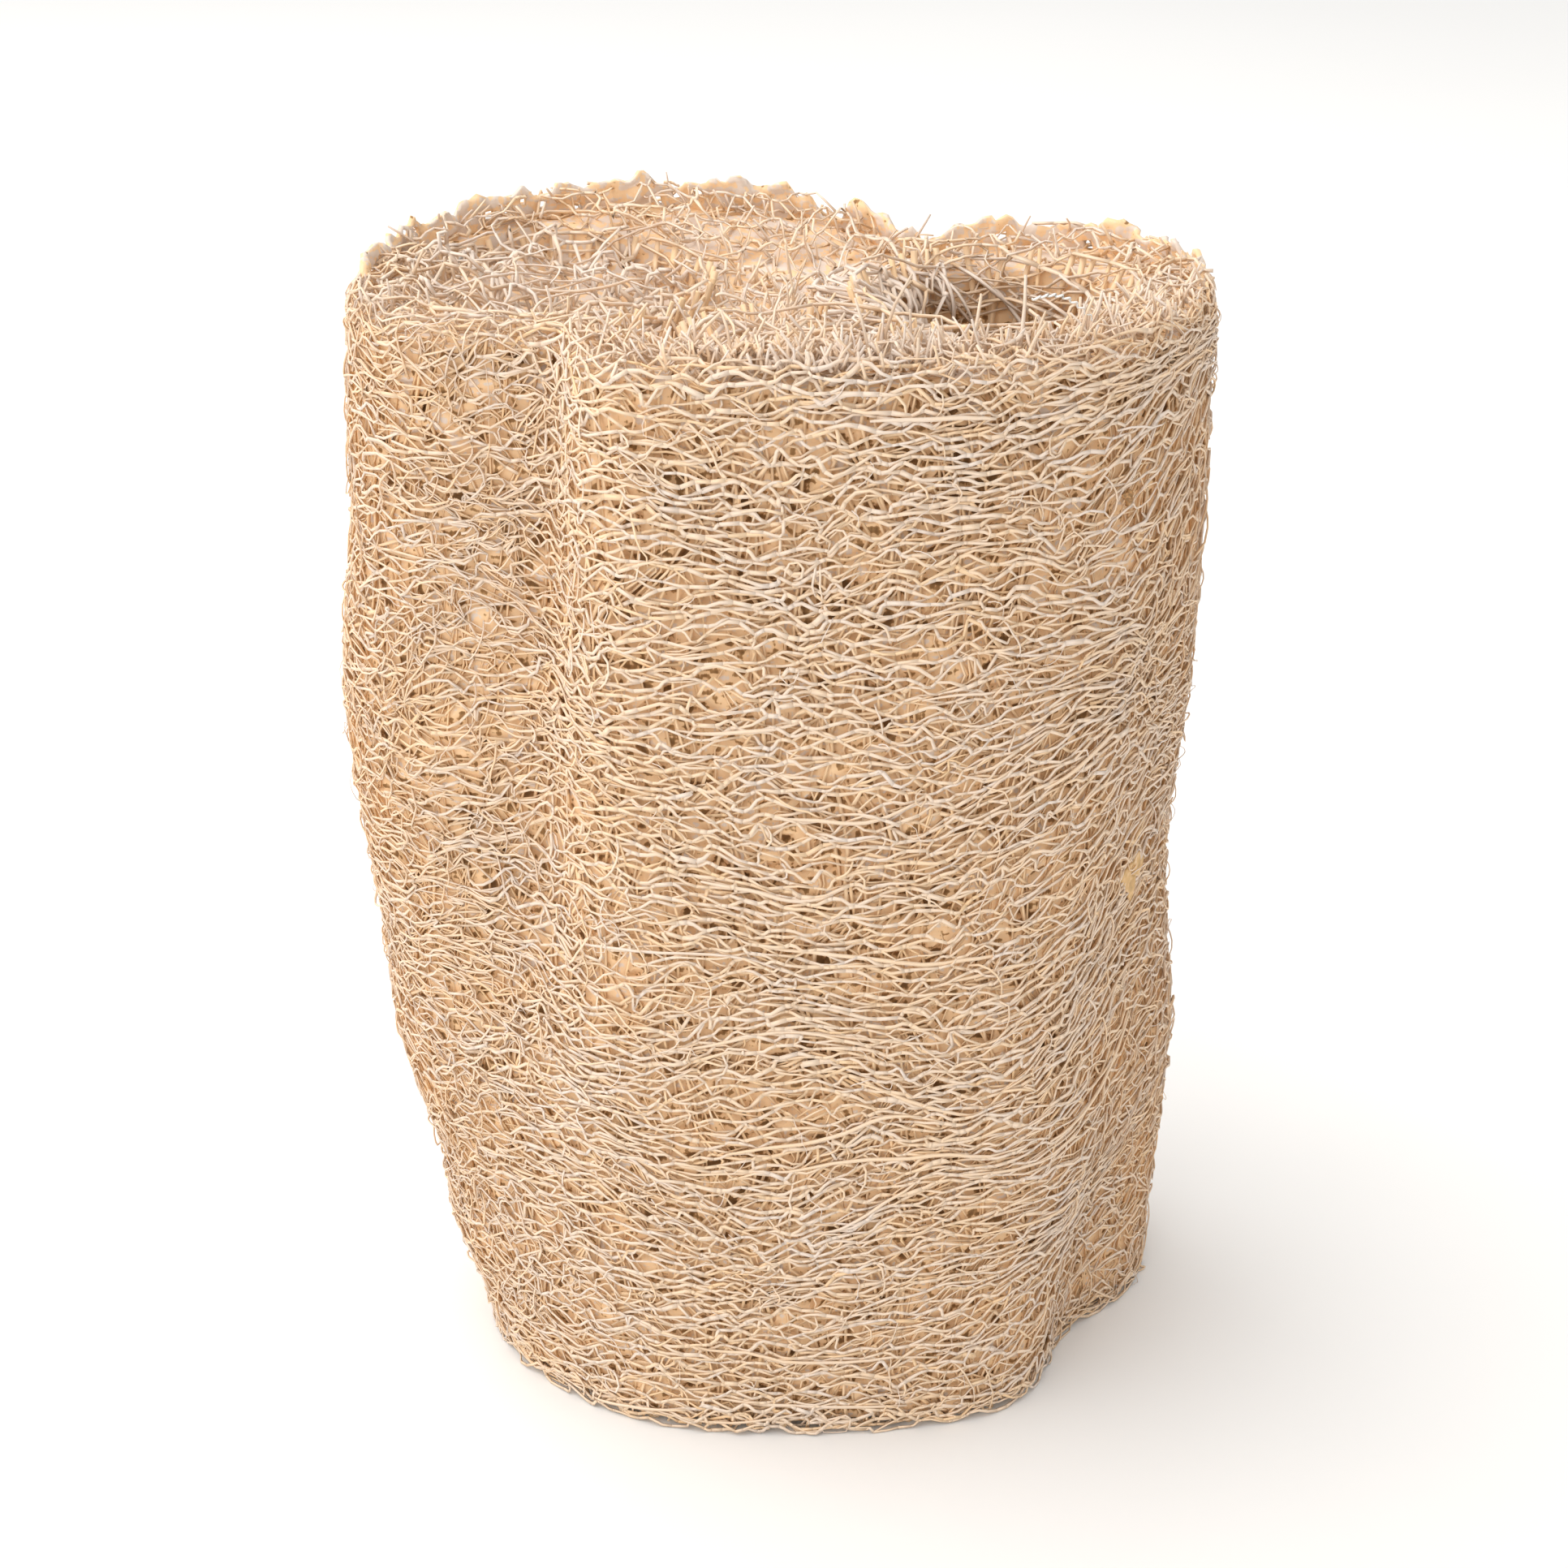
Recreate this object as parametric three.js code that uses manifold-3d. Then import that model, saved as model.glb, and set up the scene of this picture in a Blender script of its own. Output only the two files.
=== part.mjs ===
// Natural loofah sponge: a length cut from the dried fruit, standing on its lower cut.
// Millimetres, +Z up. The origin is the middle of the core on the lower cut, and -Y is the front.
import * as THREE from "three";
import { mergeVertices } from "three/addons/utils/BufferGeometryUtils.js";
import Module from "manifold-3d";

// Outline of the fruit: how far it reaches each way from the core, as [height, reach] pairs
const HEIGHT = 128;
const LEFT = [[0, 37], [20, 41.5], [45, 46.5], [82, 49.3], [110, 47], [HEIGHT, 46]];
const RIGHT = [[0, 47], [33, 47.8], [62, 45.6], [86, 47], [HEIGHT, 46.4]];
const FRONT = [[0, 31.5], [60, 34], [HEIGHT, 33.5]];
const BACK = [[0, 31], [64, 34], [HEIGHT, 35.5]];
const SQUARENESS = 2.3; // exponent of the outline: 2 is an ellipse, more is boxier

// Lengthwise grooves between the lobes: depth is the share of the outline that each takes away
const GROOVES = [
  { name: "front left", angle: 220, spread: 14, depth: [[0, 0.02], [42, 0.05], [72, 0.17], [HEIGHT, 0.24]] },
  { name: "back right", angle: 58, spread: 15, depth: [[0, 0.13], [HEIGHT, 0.24]] },
  { name: "right front", angle: -21, spread: 17, depth: [[0, 0.19], [48, 0.09], [HEIGHT, 0.04]] },
];

// Upper cut: its edge is rounded, its middle is sunk, and it isn't level
const SHOULDER = 3;
const DISH = 3;
const CUT_LEVELS = [
  { name: "tall back left lobe", angle: 125, spread: 38, rise: 2.8 },
  { name: "low back notch", angle: 60, spread: 17, rise: -1.6 },
];
const CUT_BLEND = 30; // height below the cut over which the strands follow its slope

// Raised net: wavy strands run round the fruit and touch their neighbours once a wave
const STRANDS = 27;
const PITCH = HEIGHT / STRANDS;
const WAVES = 16;
const COLUMNS = WAVES * 4;
const WANDER = 0.42 * PITCH;
const PHASE_DRIFT = 0.7; // radians, at most, from one strand to the next
const GAP_DEPTH = 2.4; // where the gap between two strands is widest
const UNEVEN = 0.45; // random offset of every net point, at most

// Seed channels: at is the centre at the lower and at the upper cut, half the half widths there
const CHANNELS = [
  { name: "left", at: [[-18.5, 6], [-24, 6]], half: [[10.5, 11.5], [13.5, 15]] },
  { name: "right", at: [[21, 3], [22.5, 1]], half: [[10, 11], [12.5, 14]] },
  { name: "front", at: [[1, -15], [1, -16]], half: [[8, 6.5], [8.5, 7]] },
];
const CHANNEL_SIDES = 14;
const CHANNEL_ROWS = 10;
const CHANNEL_RIPPLE = 0.05; // share of the half width
const MOUTH_FLARE = 2.5;
const MOUTH_DEPTH = 9;
const OVERRUN = 6; // how far a channel's cutter passes the two cuts

// Frayed fibre ends that stand up round the upper cut
const ENDS = 60;
const END_LENGTH = [1.4, 3.6]; // shortest and longest, above the cut
const END_RADIUS = 1.1;
const END_TIP = 0.5; // radius of the blunt tip
const END_ROOT = 2.5; // length inside the body
const END_LEAN = 0.5; // radians, at most
const END_BAND = [1.8, 5]; // inward from the outline

const SEED = 7;

const radians = THREE.MathUtils.degToRad;

/** A repeatable source of numbers between 0 and 1. */
function numbersFrom(seed) {
  let state = seed;
  return () => {
    state = (state + 0x6d2b79f5) | 0;
    let mixed = Math.imul(state ^ (state >>> 15), 1 | state);
    mixed = (mixed + Math.imul(mixed ^ (mixed >>> 7), 61 | mixed)) ^ mixed;
    return ((mixed ^ (mixed >>> 14)) >>> 0) / 4294967296;
  };
}

const random = numbersFrom(SEED);
const between = (low, high) => low + (high - low) * random();

/** The value at height z of a list of [height, value] pairs, eased from each pair to the next. */
function atHeight(pairs, z) {
  const next = Math.max(1, pairs.findIndex(([height]) => height >= z));
  const [lowZ, low] = pairs[next - 1];
  const [highZ, high] = pairs[next];
  return THREE.MathUtils.lerp(low, high, THREE.MathUtils.smoothstep(z, lowZ, highZ));
}

/** 1 at the centre of an angular feature, falling off like a bell on both sides. */
function bell(angle, { angle: centre, spread }) {
  const away = THREE.MathUtils.euclideanModulo(angle - radians(centre) + Math.PI, 2 * Math.PI) - Math.PI;
  return Math.exp(-((away / radians(spread)) ** 2));
}

/** Distance from the core to the outline, at this angle and height. */
function outlineRadius(angle, z) {
  const height = THREE.MathUtils.clamp(z, 0, HEIGHT);
  const across = Math.abs(Math.cos(angle)) / atHeight(Math.cos(angle) < 0 ? LEFT : RIGHT, height);
  const along = Math.abs(Math.sin(angle)) / atHeight(Math.sin(angle) < 0 ? FRONT : BACK, height);
  const plain = (across ** SQUARENESS + along ** SQUARENESS) ** (-1 / SQUARENESS);
  const pinch = GROOVES.reduce((sum, groove) => sum + atHeight(groove.depth, height) * bell(angle, groove), 0);
  return plain * (1 - pinch);
}

/** How far the upper cut lies above its mean level, at the outline. */
function cutRise(angle) {
  return CUT_LEVELS.reduce((sum, level) => sum + level.rise * bell(angle, level), 0);
}

/** How far the rounded shoulder is drawn in from the outline at this height. */
function shoulderInset(z) {
  const share = THREE.MathUtils.clamp((z - HEIGHT + SHOULDER) / SHOULDER, 0, 1);
  return SHOULDER * (1 - Math.sqrt(1 - share ** 2));
}

/** Height offset of a strand: neighbours swing opposite ways, so they touch once a wave. */
function strandOffset(strand, angle, phases) {
  if (strand < 0 || strand >= STRANDS) {
    return 0;
  }
  const side = strand % 2 ? -1 : 1;
  return side * WANDER * Math.cos(WAVES * angle + phases[strand]);
}

/** Radial and vertical offset of the net's row at this angle: odd rows are strands, even rows gaps. */
function netOffset(row, angle, phases) {
  const below = strandOffset(Math.floor((row - 1) / 2), angle, phases);
  if (row % 2) {
    return { inward: 0, up: below };
  }
  const above = strandOffset(row / 2, angle, phases);
  const gap = (PITCH + above - below) / (PITCH + 2 * WANDER);
  return { inward: GAP_DEPTH * gap, up: (above + below) / 2 };
}

/** A geometry with only its positions, its shared vertices merged and collapsed triangles left out. */
function welded(geometry) {
  const plain = geometry.index ? geometry.toNonIndexed() : geometry.clone();
  plain.deleteAttribute("normal");
  plain.deleteAttribute("uv");
  const merged = mergeVertices(plain, 1e-4);
  const kept = [];
  for (let i = 0; i < merged.index.count; i += 3) {
    const [a, b, c] = merged.index.array.slice(i, i + 3);
    if (a !== b && b !== c && c !== a) {
      kept.push(a, b, c);
    }
  }
  return merged.setIndex(kept);
}

/** Moves every vertex of a geometry, given as a Vector3. */
function moveVertices(geometry, move) {
  const place = geometry.attributes.position;
  const point = new THREE.Vector3();
  for (let i = 0; i < place.count; i++) {
    point.fromBufferAttribute(place, i);
    move(point);
    place.setXYZ(i, point.x, point.y, point.z);
  }
  return geometry;
}

/** Closed net-covered body without its channels. The lathe's radius is a share of the outline. */
function bodyGeometry() {
  const rows = 2 * STRANDS;
  const side = Array.from({ length: rows + 1 }, (_, row) => new THREE.Vector2(1, (row * HEIGHT) / rows));
  const profile = [
    new THREE.Vector2(0, 0),
    new THREE.Vector2(0.5, 0),
    new THREE.Vector2(0.93, 0),
    ...side,
    new THREE.Vector2(0.84, HEIGHT),
    new THREE.Vector2(0.6, HEIGHT),
    new THREE.Vector2(0.32, HEIGHT),
    new THREE.Vector2(0, HEIGHT),
  ];
  const phases = [random() * Math.PI];
  while (phases.length < STRANDS) {
    phases.push(phases[phases.length - 1] + between(-PHASE_DRIFT, PHASE_DRIFT));
  }
  const lathe = welded(new THREE.LatheGeometry(profile, COLUMNS).rotateX(Math.PI / 2));
  return moveVertices(lathe, (point) => {
    const share = Math.hypot(point.x, point.y);
    const angle = Math.atan2(point.y, point.x);
    const row = Math.round(point.z / (PITCH / 2));
    const onSide = share > 0.999;
    const onBase = row === 0;
    const onTop = row === rows;
    const net = onSide ? netOffset(row, angle, phases) : { inward: 0, up: 0 };
    const free = onBase || (onTop && onSide) ? 0 : UNEVEN;
    const level = (row * PITCH) / 2;
    const z = onBase || onTop ? level : level + net.up;
    const sink = onTop ? DISH * (1 - THREE.MathUtils.smoothstep(share, 0.45, 0.9)) : 0;
    const radius = share * (outlineRadius(angle, z) - net.inward - shoulderInset(z) + between(-free, free));
    const follow = share * THREE.MathUtils.smoothstep(z, HEIGHT - CUT_BLEND, HEIGHT);
    point.set(radius * Math.cos(angle), radius * Math.sin(angle), z - sink + follow * cutRise(angle));
  });
}

/** Cutter for one seed channel: an oval tube that leans and widens upwards and flares at its mouth. */
function channelGeometry({ at, half }) {
  const [low, high] = [-OVERRUN, HEIGHT + OVERRUN];
  const tube = new THREE.CylinderGeometry(1, 1, high - low, CHANNEL_SIDES, CHANNEL_ROWS);
  tube.rotateX(Math.PI / 2).translate(0, 0, (low + high) / 2);
  return moveVertices(welded(tube), (point) => {
    const share = THREE.MathUtils.clamp(point.z / HEIGHT, 0, 1);
    const angle = Math.atan2(point.y, point.x);
    const flare = MOUTH_FLARE * THREE.MathUtils.smoothstep(point.z, HEIGHT - MOUTH_DEPTH, HEIGHT);
    const ripple = 1 + CHANNEL_RIPPLE * Math.cos(3 * angle + point.z / 9);
    const mix = (pair, axis) => THREE.MathUtils.lerp(pair[0][axis], pair[1][axis], share);
    point.x = mix(at, 0) + point.x * (mix(half, 0) * ripple + flare);
    point.y = mix(at, 1) + point.y * (mix(half, 1) * ripple + flare);
  });
}

/** One frayed fibre end: a blunt four-sided stub with its root in the rim. */
function fibreEndGeometry(index) {
  const angle = (2 * Math.PI * (index + between(-0.4, 0.4))) / ENDS;
  const length = between(...END_LENGTH) + END_ROOT;
  const radius = outlineRadius(angle, HEIGHT) - between(...END_BAND);
  const stub = new THREE.CylinderGeometry(END_TIP, END_RADIUS, length, 4);
  stub.rotateX(Math.PI / 2).translate(0, 0, length / 2 - END_ROOT);
  stub.rotateX(between(-END_LEAN, END_LEAN)).rotateY(between(-END_LEAN, END_LEAN));
  stub.translate(radius * Math.cos(angle), radius * Math.sin(angle), HEIGHT + cutRise(angle) - 0.5);
  return welded(stub);
}

const wasm = await Module();
wasm.setup();

/** A closed geometry as a solid that can be joined and cut. */
function solidFrom(geometry) {
  const mesh = new wasm.Mesh({
    numProp: 3,
    vertProperties: new Float32Array(geometry.attributes.position.array),
    triVerts: new Uint32Array(geometry.index.array),
  });
  return new wasm.Manifold(mesh);
}

/** A solid as a geometry. */
function geometryFrom(solid) {
  const { vertProperties, triVerts } = solid.getMesh();
  const geometry = new THREE.BufferGeometry();
  geometry.setAttribute("position", new THREE.BufferAttribute(vertProperties, 3));
  geometry.setIndex(new THREE.BufferAttribute(triVerts, 1));
  geometry.computeVertexNormals();
  return geometry;
}

/** The whole sponge: the netted body with its seed channels cut through, and its frayed ends. */
function spongeSolid() {
  let solid = solidFrom(bodyGeometry());
  for (const channel of CHANNELS) {
    solid = solid.subtract(solidFrom(channelGeometry(channel)));
  }
  for (let i = 0; i < ENDS; i++) {
    solid = solid.add(solidFrom(fibreEndGeometry(i)));
  }
  return solid;
}

const fibre = new THREE.MeshStandardMaterial({ color: 0xd9b48f, roughness: 0.85, metalness: 0 });
const loofah = new THREE.Mesh(geometryFrom(spongeSolid()), fibre);
loofah.name = "loofah";

const sponge = new THREE.Group();
sponge.add(loofah);

export default sponge;
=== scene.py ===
"""Natural loofah sponge: fibre net, seed channels and frayed cut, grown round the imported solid."""

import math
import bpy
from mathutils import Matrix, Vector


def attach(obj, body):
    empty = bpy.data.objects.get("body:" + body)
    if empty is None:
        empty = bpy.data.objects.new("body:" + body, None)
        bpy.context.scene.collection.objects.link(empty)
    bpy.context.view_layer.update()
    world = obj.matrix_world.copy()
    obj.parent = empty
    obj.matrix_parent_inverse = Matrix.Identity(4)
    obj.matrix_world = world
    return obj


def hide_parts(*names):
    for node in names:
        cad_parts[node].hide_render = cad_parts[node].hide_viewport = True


bl_info = {
    "name": "Natural Loofah Sponge",
    "version": (1, 0, 0),
    "blender": (4, 5, 0),
    "location": "View3D > Sidebar > Loofah",
    "description": "Grows the fibre net, seed channels and frayed cut of a natural loofah sponge",
    "category": "Add Mesh",
}

import bpy
import numpy as np
from bpy.props import FloatProperty, FloatVectorProperty, IntProperty, PointerProperty
from bpy.types import Operator, Panel, PropertyGroup

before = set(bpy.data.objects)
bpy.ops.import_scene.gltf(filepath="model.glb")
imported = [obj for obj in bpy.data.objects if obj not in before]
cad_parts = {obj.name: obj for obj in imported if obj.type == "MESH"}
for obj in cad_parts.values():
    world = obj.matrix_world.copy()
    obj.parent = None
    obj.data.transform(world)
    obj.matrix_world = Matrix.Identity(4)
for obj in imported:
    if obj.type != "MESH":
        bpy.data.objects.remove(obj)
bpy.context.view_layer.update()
NODE = "loofah"
BODY = "root"

MM = 0.001

# The fruit's outline, in metres: how far it reaches from the core, as (height, reach) pairs
HEIGHT = 0.128
LEFT = (
    (0, 0.037), (0.020, 0.0415), (0.045, 0.0465), (0.082, 0.0493), (0.110, 0.047), (HEIGHT, 0.046),
)
RIGHT = ((0, 0.047), (0.033, 0.0478), (0.062, 0.0456), (0.086, 0.047), (HEIGHT, 0.0464))
FRONT = ((0, 0.0315), (0.060, 0.034), (HEIGHT, 0.0335))
BACK = ((0, 0.031), (0.064, 0.034), (HEIGHT, 0.0355))
SQUARENESS = 2.3  # exponent of the outline: 2 is an ellipse, more is boxier

# Lengthwise grooves: angle and spread in degrees, and the share of the outline taken away by height
GROOVES = (
    (220, 14, ((0, 0.02), (0.042, 0.05), (0.072, 0.17), (HEIGHT, 0.24))),
    (58, 15, ((0, 0.13), (HEIGHT, 0.24))),
    (-21, 17, ((0, 0.19), (0.048, 0.09), (HEIGHT, 0.04))),
)

# The upper cut: angle, spread in degrees and rise above the mean level
CUT_LEVELS = ((125, 38, 0.0028), (60, 17, -0.0016))
CUT_BLEND = 0.030  # height under the cut over which the strands take up its slope
SHOULDER = 0.003  # radius of its rounded edge
DISH = 0.003  # how far its middle is sunk
LIFT = 0.8  # share of the cut's rise that the fibres in the channels' mouths follow

# Seed channels: centre and half widths at the lower and at the upper cut
CHANNELS = {
    "left": (((-0.0185, 0.006), (-0.024, 0.006)), ((0.0105, 0.0115), (0.0135, 0.015))),
    "right": (((0.021, 0.003), (0.0225, 0.001)), ((0.010, 0.011), (0.0125, 0.014))),
    "front": (((0.001, -0.015), (0.001, -0.016)), ((0.008, 0.0065), (0.0085, 0.007))),
}
MOUTH_FLARE = 0.0025
MOUTH_DEPTH = 0.009

# Where the skin is tangled: angle, spread in degrees and how much it adds to the even share
TANGLES = ((192, 38, 0.78), (-6, 24, 0.70), (90, 60, 0.30))
EVEN_TANGLE = 0.30

SIDES = 3  # corners of a fibre's cross-section
WALL = 0.60 * MM  # thickness of the felted wall round the upper cut
SHEET_WIDE, SHEET_DEEP = 0.104, 0.042  # a flat net for the cuts: its width, and half its depth


class LoofahSizes(PropertyGroup):
    """Sizes of the fibres and their layers."""

    cell_length: FloatProperty(
        name="Cell length", description="Mesh width of the outer net, round the fruit",
        default=3.9 * MM, min=1 * MM, unit="LENGTH", subtype="DISTANCE",
    )
    cell_height: FloatProperty(
        name="Cell height", description="Mesh height of the outer net",
        default=1.06 * MM, min=0.4 * MM, unit="LENGTH", subtype="DISTANCE",
    )
    strand: FloatProperty(
        name="Strand thickness", description="Mean thickness of an outer strand",
        default=0.48 * MM, min=0.1 * MM, unit="LENGTH", subtype="DISTANCE",
    )
    lengthwise_spacing: FloatProperty(
        name="Lengthwise spacing",
        description="Spacing of the fibres that run up under the outer net",
        default=1.2 * MM, min=0.3 * MM, unit="LENGTH", subtype="DISTANCE",
    )
    mat_depth: FloatProperty(
        name="Mat depth", description="Depth of the felted inner mat under the skin",
        default=1.25 * MM, min=0.8 * MM, unit="LENGTH", subtype="DISTANCE",
    )
    end_length: FloatProperty(
        name="Frayed end length", description="Mean length of a cut fibre end above the upper cut",
        default=2.7 * MM, min=0.5 * MM, unit="LENGTH", subtype="DISTANCE",
    )
    seed: IntProperty(name="Seed", description="Start of the random numbers", default=11, min=0)


class LoofahColours(PropertyGroup):
    """Linear colours of the dry fibre, from the sun-bleached skin to the shaded inside."""

    bleached: FloatVectorProperty(
        name="Bleached", description="Cut ends and loose hairs",
        default=(0.87, 0.74, 0.64), size=3, min=0, max=1, subtype="COLOR",
    )
    cream: FloatVectorProperty(
        name="Cream", description="Strands of the outer net",
        default=(0.93, 0.70, 0.485), size=3, min=0, max=1, subtype="COLOR",
    )
    # Tan is partly the inner fibres' own colour, partly painted shade of lying under the outer net
    tan: FloatVectorProperty(
        name="Tan", description="Fibres under the outer net",
        default=(0.95, 0.66, 0.385), size=3, min=0, max=1, subtype="COLOR",
    )
    # Brown, darkened, paints the shade in the mat's pits and holes; it also colours the seed scrap
    brown: FloatVectorProperty(
        name="Brown", description="Felted inner mat",
        default=(0.85, 0.48, 0.21), size=3, min=0, max=1, subtype="COLOR",
    )


class LoofahStage(PropertyGroup):
    """Floor, lights and camera."""

    floor_reach: FloatProperty(
        name="Floor reach", description="Half the width of the floor",
        default=4.0, min=0.5, unit="LENGTH", subtype="DISTANCE",
    )
    camera_distance: FloatProperty(
        name="Camera distance", description="Camera to core, along the floor",
        default=0.272, min=0.1, unit="LENGTH", subtype="DISTANCE",
    )
    camera_height: FloatProperty(
        name="Camera height", description="Camera above the floor",
        default=0.197, min=0.01, unit="LENGTH", subtype="DISTANCE",
    )
    camera_tilt: FloatProperty(
        name="Camera tilt", description="How far the camera looks down",
        default=math.radians(25.3), unit="ROTATION", subtype="ANGLE",
    )
    lens: FloatProperty(
        name="Lens", description="Focal length for a 36 mm wide sensor, in millimetres",
        default=60.0, min=10,
    )
    key_power: FloatProperty(
        name="Key light", description="Power of the large light at the front left",
        default=15.0, min=0, unit="POWER",
    )
    sky: FloatProperty(
        name="Sky", description="Strength of the even light from all round", default=0.79, min=0,
    )


def eased(pairs, z):
    """Value at height z of (height, value) pairs: a smooth step leads from pair to pair."""
    heights, values = np.array(pairs, float).T
    i = np.clip(np.searchsorted(heights, z) - 1, 0, len(heights) - 2)
    return values[i] + (values[i + 1] - values[i]) * step(z, heights[i], heights[i + 1])


def step(value, low, high):
    """Smooth step: 0 below low, 1 above high, and 3t^2 - 2t^3 between."""
    t = np.clip((value - low) / (high - low), 0, 1)
    return t * t * (3 - 2 * t)


def bell(angle, centre, spread):
    """1 at the centre angle, falling off as exp(-(distance / spread)^2); both are in degrees."""
    away = (angle - math.radians(centre) + math.pi) % (2 * math.pi) - math.pi
    return np.exp(-((away / math.radians(spread)) ** 2))


def outline(angle, z):
    """Core to skin: a superellipse with its own reach on each side, pinched by the grooves."""
    z = np.clip(z, 0, HEIGHT)
    across = np.abs(np.cos(angle)) / np.where(np.cos(angle) < 0, eased(LEFT, z), eased(RIGHT, z))
    along = np.abs(np.sin(angle)) / np.where(np.sin(angle) < 0, eased(FRONT, z), eased(BACK, z))
    plain = (across**SQUARENESS + along**SQUARENESS) ** (-1 / SQUARENESS)
    pinch = sum(eased(depth, z) * bell(angle, at, spread) for at, spread, depth in GROOVES)
    return plain * (1 - pinch)


def round_angles(count):
    """Even angles of one whole turn."""
    return np.linspace(0, 2 * math.pi, count, endpoint=False)


def cut_rise(angle):
    """Height of the upper cut over its mean level, at this angle: the sum of the named bells."""
    return sum(rise * bell(angle, at, spread) for at, spread, rise in CUT_LEVELS)


def length_table():
    """Angles round the fruit, the share of the outline's length up to each, and that length."""
    angle = np.linspace(0, 2 * math.pi, 1441)
    radius = outline(angle, HEIGHT / 2)
    edge = np.hypot(np.diff(radius * np.cos(angle)), np.diff(radius * np.sin(angle)))
    way = np.concatenate([[0], np.cumsum(edge)])
    return angle, way / way[-1], way[-1]


TABLE_ANGLE, TABLE_SHARE, LOOP = length_table()


def angle_at(way):
    """Angle at a distance along the skin: equal distances are equal lengths of the mid outline."""
    return np.interp((way / LOOP) % 1, TABLE_SHARE, TABLE_ANGLE)


def way_at(degrees):
    """Distance along the skin at an angle given in degrees."""
    return np.interp(math.radians(degrees) % (2 * math.pi), TABLE_ANGLE, TABLE_SHARE) * LOOP


def polar(radius, angle, z):
    """Points at a radius and an angle round the core, and at height z."""
    return np.stack(np.broadcast_arrays(radius * np.cos(angle), radius * np.sin(angle), z), -1)


def on_skin(way, height, depth):
    """Points at a way round, a height and a depth. The radius is the outline less the depth and a
    quarter-round shoulder under the cut, and the height follows the slope of the cut."""
    angle = angle_at(way)
    near = np.clip((height - HEIGHT + SHOULDER) / SHOULDER, 0, 1)
    radius = outline(angle, height) - depth - SHOULDER * (1 - np.sqrt(1 - near**2)) * 0.6
    lift = step(height, HEIGHT - CUT_BLEND, HEIGHT) * cut_rise(angle)
    return polar(radius, angle, height + lift)


def drift(way, height, seed, wavelength, waves=12):
    """Smooth random field of about unit size: a sum of sine waves, each with a whole number of
    periods round the fruit and a random phase."""
    rng = np.random.default_rng(seed)
    most = max(2, round(LOOP / wavelength))
    total = np.zeros(np.broadcast(way, height).shape)
    for _ in range(waves):
        turns = rng.integers(-most, most + 1)
        rise = rng.uniform(-1, 1) / wavelength
        total += np.sin(2 * math.pi * (turns * way / LOOP + rise * height) + rng.uniform(0, 7))
    return total * math.sqrt(2 / waves)


def tangle_at(way, height):
    """How tangled the skin is, 0 to 1: calm on the front lobe, curly on the two others."""
    angle = angle_at(way)
    lobes = sum(most * bell(angle, at, spread) for at, spread, most in TANGLES)
    return np.clip(EVEN_TANGLE + lobes + 0.14 * drift(way, height, 5, 18 * MM), 0, 1)


def even(tangle):
    """A tangle that is the same all over a net, as net_paths asks for it."""
    return lambda way, height: tangle + 0 * way


def draws(rng, count):
    """Two ways to draw a column of numbers, one for each of count fibres: evenly between a lowest
    and a highest, and about a mean with a spread."""

    def evenly(low, high):
        return rng.uniform(low, high, (count, 1))

    def about(mean, spread):
        return rng.normal(mean, spread, (count, 1))

    return evenly, about


def spaced(rng, count, loop):
    """A column of ways round a loop: equal steps, each nudged at random."""
    return (np.arange(count)[:, None] + rng.uniform(-0.4, 0.4, (count, 1))) * loop / count


def swept(way, height):
    """Moves points of the skin's strands: long slow waves, short ones, and a climb towards the
    right side that dies out at both cuts."""
    fade = step(height, 0, 16 * MM) * step(HEIGHT - height, 0, 16 * MM)
    climb = 8 * MM * bell(angle_at(way), -4, 40)
    waves = 1.1 * MM * drift(way, height, 21, 34 * MM) + 0.22 * MM * drift(way, height, 22, 9 * MM)
    aside = 0.9 * MM * drift(way, height, 23, 22 * MM)
    return way + aside, height + fade * (climb + waves)


def tubes(points, radius, tone):
    """Closed three-sided tubes along n paths of k points. Each point carries a triangle square to
    the path, of the given radius, and neighbouring triangles are joined by quads split in two. One
    corner points away from the core, so that tubes that meet share their edges' lines."""
    n, k = points.shape[:2]
    heading = np.gradient(points, axis=1)
    heading /= np.linalg.norm(heading, axis=2, keepdims=True) + 1e-12
    outward = points.mean(1) * (1, 1, 0)
    outward /= np.linalg.norm(outward, axis=1, keepdims=True) + 1e-12
    least = np.eye(3)[np.abs(heading).max(1).argmin(1)]  # the axis that the path turns to least
    steep = np.abs((heading * outward[:, None]).sum(2)).max(1, keepdims=True) > 0.85
    helper = np.where(steep, least, outward)
    side = np.cross(heading, helper[:, None])
    side /= np.linalg.norm(side, axis=2, keepdims=True) + 1e-12
    rise = np.cross(heading, side)
    spin = math.pi / 2 + np.arange(SIDES) * 2 * math.pi / SIDES
    spoke = np.cos(spin)[:, None] * side[:, :, None] + np.sin(spin)[:, None] * rise[:, :, None]
    corners = points[:, :, None] + np.broadcast_to(radius, (n, k))[:, :, None, None] * spoke
    base = SIDES * k * np.arange(n)[:, None, None] + SIDES * np.arange(k - 1)[:, None]
    a = base + np.arange(SIDES)
    b = base + np.roll(np.arange(SIDES), -1)
    walls = np.stack([a, b, b + SIDES, a, b + SIDES, a + SIDES], -1).reshape(-1, 3)
    first = SIDES * k * np.arange(n)[:, None]
    ends = np.concatenate([first + [0, 2, 1], first + SIDES * (k - 1) + [0, 1, 2]])
    tones = np.broadcast_to(tone, (n, k))[:, :, None] + np.zeros(SIDES)
    return corners.reshape(-1, 3), np.concatenate([walls, ends]), tones.ravel()


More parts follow.
